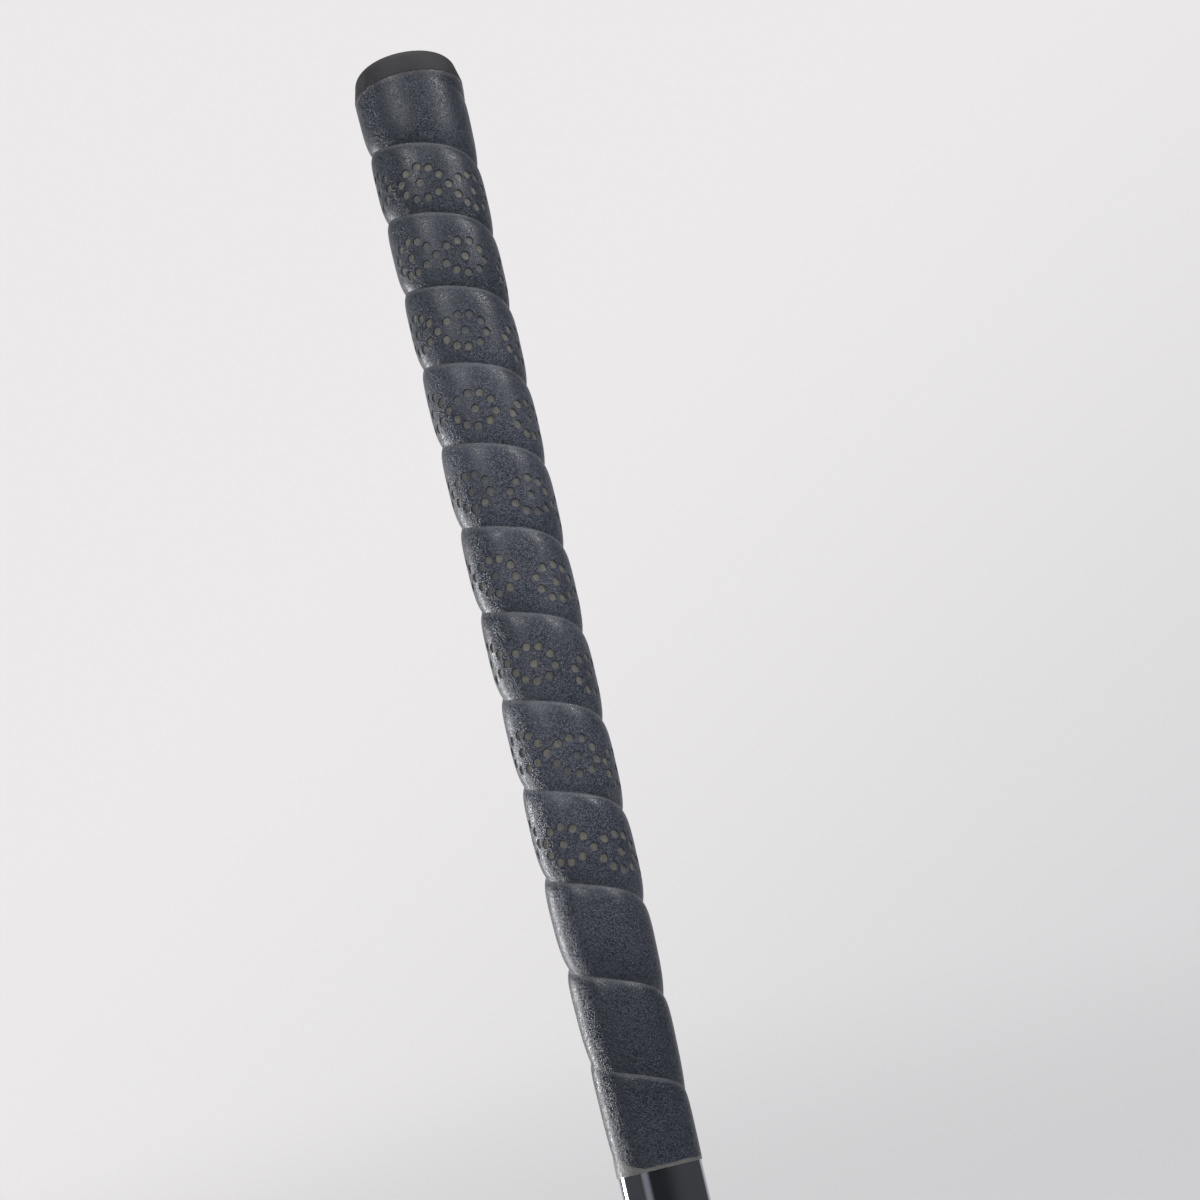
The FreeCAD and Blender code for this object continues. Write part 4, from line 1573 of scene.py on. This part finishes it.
@dataclass(frozen=True)
class Studio:
    """Camera, soft light, pale floor and pale surroundings."""

    camera_place: Point = (-0.1707146, -0.0144935, 0.7575363)
    camera_turn: Point = (82.9382, 12.8515, -93.2916)
    lens: float = 72
    sensor_width: float = 36
    clip_start: float = 0.01
    softboxes: tuple[Softbox, ...] = (
        Softbox("left_softbox", (-0.35, 0.50, 1.75), GRIP_MIDDLE, (0.55, 0.55), 6.0),
        Softbox("right_softbox", (0.13, -1.05, 1.62), GRIP_MIDDLE, (0.55, 0.55), 8.0),
        Softbox("rim_softbox", (1.00, 1.02, 0.42), (0.23, -0.01, 0.58), (0.3, 0.7), 10.0),
        Softbox("top_softbox", (0.45, 0.0, 2.3), (0.15, 0, 0.3), (1.0, 1.0), 4.0))
    floor_radius: float = 2.6
    floor_centre: Point = (0.1, 0, 0)
    floor_sides: int = 96
    floor_tones: tuple[Colour, Colour] = ((0.70, 0.695, 0.70), (0.73, 0.725, 0.73))
    floor_fibre: Noise = Noise(900)
    floor_relief: float = 0.05
    floor_rough: float = 0.7
    floor_fade: Ramp = Ramp(1.17, 2.34, smooth=True)
    ambient: tuple[float, ...] = (0.97, 0.98, 1.0, 1)
    ambient_level: float = 0.66
    backdrop: Glow = Glow((0.0, -0.533, -0.846), Ramp(0.02, 0.55, smooth=True))
    backdrop_tones: tuple[Colour, Colour] = ((0.835, 0.818, 0.822), (0.64, 0.64, 0.655))
    glows: tuple[Glow, ...] = (Glow((0.9923, -0.0297, -0.1199), Ramp(0.70, 0.86, 0.0, 0.45, smooth=True)),
                               Glow((0, 0, 1), Ramp(0.55, 0.85, 0.0, 0.8, smooth=True)),
                               Glow((0, -1, 0), Ramp(0.0, 0.95, 0.026, 0.075, smooth=True)),
                               Glow((0, 1, 0), Ramp(0.75, 0.9, 0.0, 0.08, smooth=True)))
    banner_azimuth: float = 135
    banner_half: float = 10
    banner_level: float = 0.28
    banner_edge: Span = (1.8, 0.2)
    banner_ahead: Ramp = Ramp(0.2, 0.5, smooth=True)

    def build(self) -> None:
        """Make the whole studio."""
        bpy.context.scene.view_settings.view_transform = "Standard"
        self.add_camera()
        self.add_floor()
        self.add_surroundings()
        for softbox in self.softboxes:
            softbox.hang()

    def add_camera(self) -> None:
        """Set the camera at the photograph's viewing angle."""
        data = bpy.data.cameras.new("view_camera")
        data.lens = self.lens
        data.sensor_width = self.sensor_width
        data.clip_start = self.clip_start
        camera = bpy.data.objects.new("view_camera", data)
        camera.location = self.camera_place
        camera.rotation_euler = [math.radians(angle) for angle in self.camera_turn]
        bpy.context.scene.collection.objects.link(camera)
        bpy.context.scene.camera = camera

    def add_floor(self) -> None:
        """Lay a pale round floor that fades into the surroundings."""
        floor = circle("floor", self.floor_radius / MM, [part / MM for part in self.floor_centre],
                       self.floor_sides, fill="NGON")
        mix = Recipe("floor_paper")
        fibre = mix.noise(mix.place(), self.floor_fibre)
        mix.set(Base_Color=mix.blend(fibre, *self.floor_tones), Roughness=self.floor_rough,
                Normal=mix.bump(fibre, self.floor_relief))
        from_centre = mix.place(shift=self.floor_centre)
        reach = mix.add("VectorMath", {0: from_centre}, operation="LENGTH").outputs["Value"]
        clear = mix.add("BsdfTransparent").outputs[0]
        faded = mix.remap(reach, self.floor_fade)
        both = mix.add("MixShader", {0: faded, 1: mix.shader.outputs[0], 2: clear})
        mix.feed(mix.tree.nodes["Material Output"].inputs["Surface"], both.outputs[0])
        floor.data.materials.append(mix.material)

    def add_surroundings(self) -> None:
        """Light the object evenly, and show a pale backdrop to the eye and glows to polished metal."""
        world = bpy.data.worlds.new("pale_surroundings")
        world.use_nodes = True
        bpy.context.scene.world = world
        world.node_tree.nodes.clear()
        sky = NodeSheet(world.node_tree)
        ray = sky.add("TexCoord").outputs["Generated"]
        kind = sky.add("LightPath").outputs
        shown = self.banner(sky, ray)
        for glow in self.glows:
            shown = sky.math("MAXIMUM", shown, sky.remap(self.towards(sky, ray, glow.way), glow.ramp))
        backdrop = sky.remap(self.towards(sky, ray, self.backdrop.way), self.backdrop.ramp)
        glossy = sky.math("MAXIMUM", kind["Is Glossy Ray"], kind["Is Transmission Ray"])
        mirrored = sky.add("CombineColor", {0: shown, 1: shown, 2: shown}).outputs[0]
        light, mirror, eye = (sky.add("Background", inputs).outputs[0] for inputs in (
            {"Color": self.ambient, "Strength": self.ambient_level}, {"Color": mirrored},
            {"Color": sky.blend(backdrop, *self.backdrop_tones)}))
        lit = sky.add("MixShader", {0: glossy, 1: light, 2: mirror}).outputs[0]
        seen = sky.add("MixShader", {0: kind["Is Camera Ray"], 1: lit, 2: eye}).outputs[0]
        sky.add("OutputWorld", {"Surface": seen})

    def towards(self, sky: NodeSheet, ray: Socket, way: Sequence[float]) -> Socket:
        """How far a ray points a way, as a cosine."""
        return sky.add("VectorMath", {0: ray, 1: tuple(way)}, operation="DOT_PRODUCT").outputs["Value"]

    def banner(self, sky: NodeSheet, ray: Socket) -> Socket:
        """Stand a tall pale banner beside the shaft, which polished metal mirrors as one soft line.

        Args:
            sky: The surroundings' nodes.
            ray: The ray's direction.

        Returns:
            The banner's brightness.
        """
        around, lean = math.radians(self.banner_azimuth), AXIS.matrix.to_3x3()
        ahead = self.towards(sky, ray, lean @ Vector((math.cos(around), math.sin(around), 0)))
        aside = self.towards(sky, ray, lean @ Vector((-math.sin(around), math.cos(around), 0)))
        edge = (math.sin(math.radians(self.banner_half)) * share for share in self.banner_edge)
        strip = sky.remap(sky.math("ABSOLUTE", aside), Ramp(*edge, 0.0, self.banner_level, smooth=True))
        return sky.times(strip, sky.remap(ahead, self.banner_ahead))


def dress_hidden_nodes() -> None:
    """Give the tape under the grip and the pad behind the insert their own finishes."""
    tape = PlainFinish("tape_crepe_paper", base=(0.62, 0.55, 0.40), other=(0.70, 0.64, 0.50),
                       spots=Noise(700, 4, 0.6), rough=Ramp(0.3, 0.7, 0.74, 0.86), relief=0.05)
    foam = PlainFinish("pad_black_foam", base=(0.03, 0.03, 0.03), other=(0.05, 0.05, 0.05),
                       spots=Noise(1500, 4, 0.6), rough=Ramp(0.3, 0.7, 0.84, 0.96), relief=0.05)
    for node, finish in (("grip_tape", tape), ("insert_pad", foam)):
        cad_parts[node].material_slots[0].material = finish.build()
        log.info("%s: finish %s", node, finish.name)


def main() -> None:
    """Build the putter from the grip down, then the studio."""
    logging.basicConfig(level=logging.INFO, format="%(name)s: %(message)s")
    steel = SatinSteel().build()
    grip = WrappedGrip().build()
    finish_piece(grip, Slot.GRIP, grip.data.materials[0], "grip_sleeve")
    finish_piece(ButtCap().build(), Slot.CAP, CapRubber().build(), "butt_cap")
    finish_piece(SteppedShaft().build(), Slot.SHAFT, ShaftChrome().build(), "shaft")
    finish_piece(OffsetNeck().build(), Slot.HEAD, steel, "hosel_neck")
    head = BladeHead()
    finish_piece(head.build_blade(), Slot.HEAD, steel, "head_body")
    finish_piece(head.build_insert(), Slot.INSERT, MilledInsert().build(), "face_insert")
    for side, place in zip(("heel", "toe"), head.weight_places()):
        finish = TurnedSteel(f"weight_turned_{side}", centre=(place * MM, 0, 0)).build()
        finish_piece(head.build_weight(f"weight_{side}", place), Slot.WEIGHT, finish, f"sole_weight_{side}")
    paint = PlainFinish("sight_white_paint", base=(0.75, 0.75, 0.73), other=(0.66, 0.66, 0.64),
                        spots=Noise(800, 4, 0.6), rough=Ramp(0.3, 0.7, 0.39, 0.51), relief=0.01)
    finish_piece(head.build_sight_line(), Slot.HEAD, paint.build())
    dress_hidden_nodes()
    Studio().build()


if __name__ == "__main__":
    main()
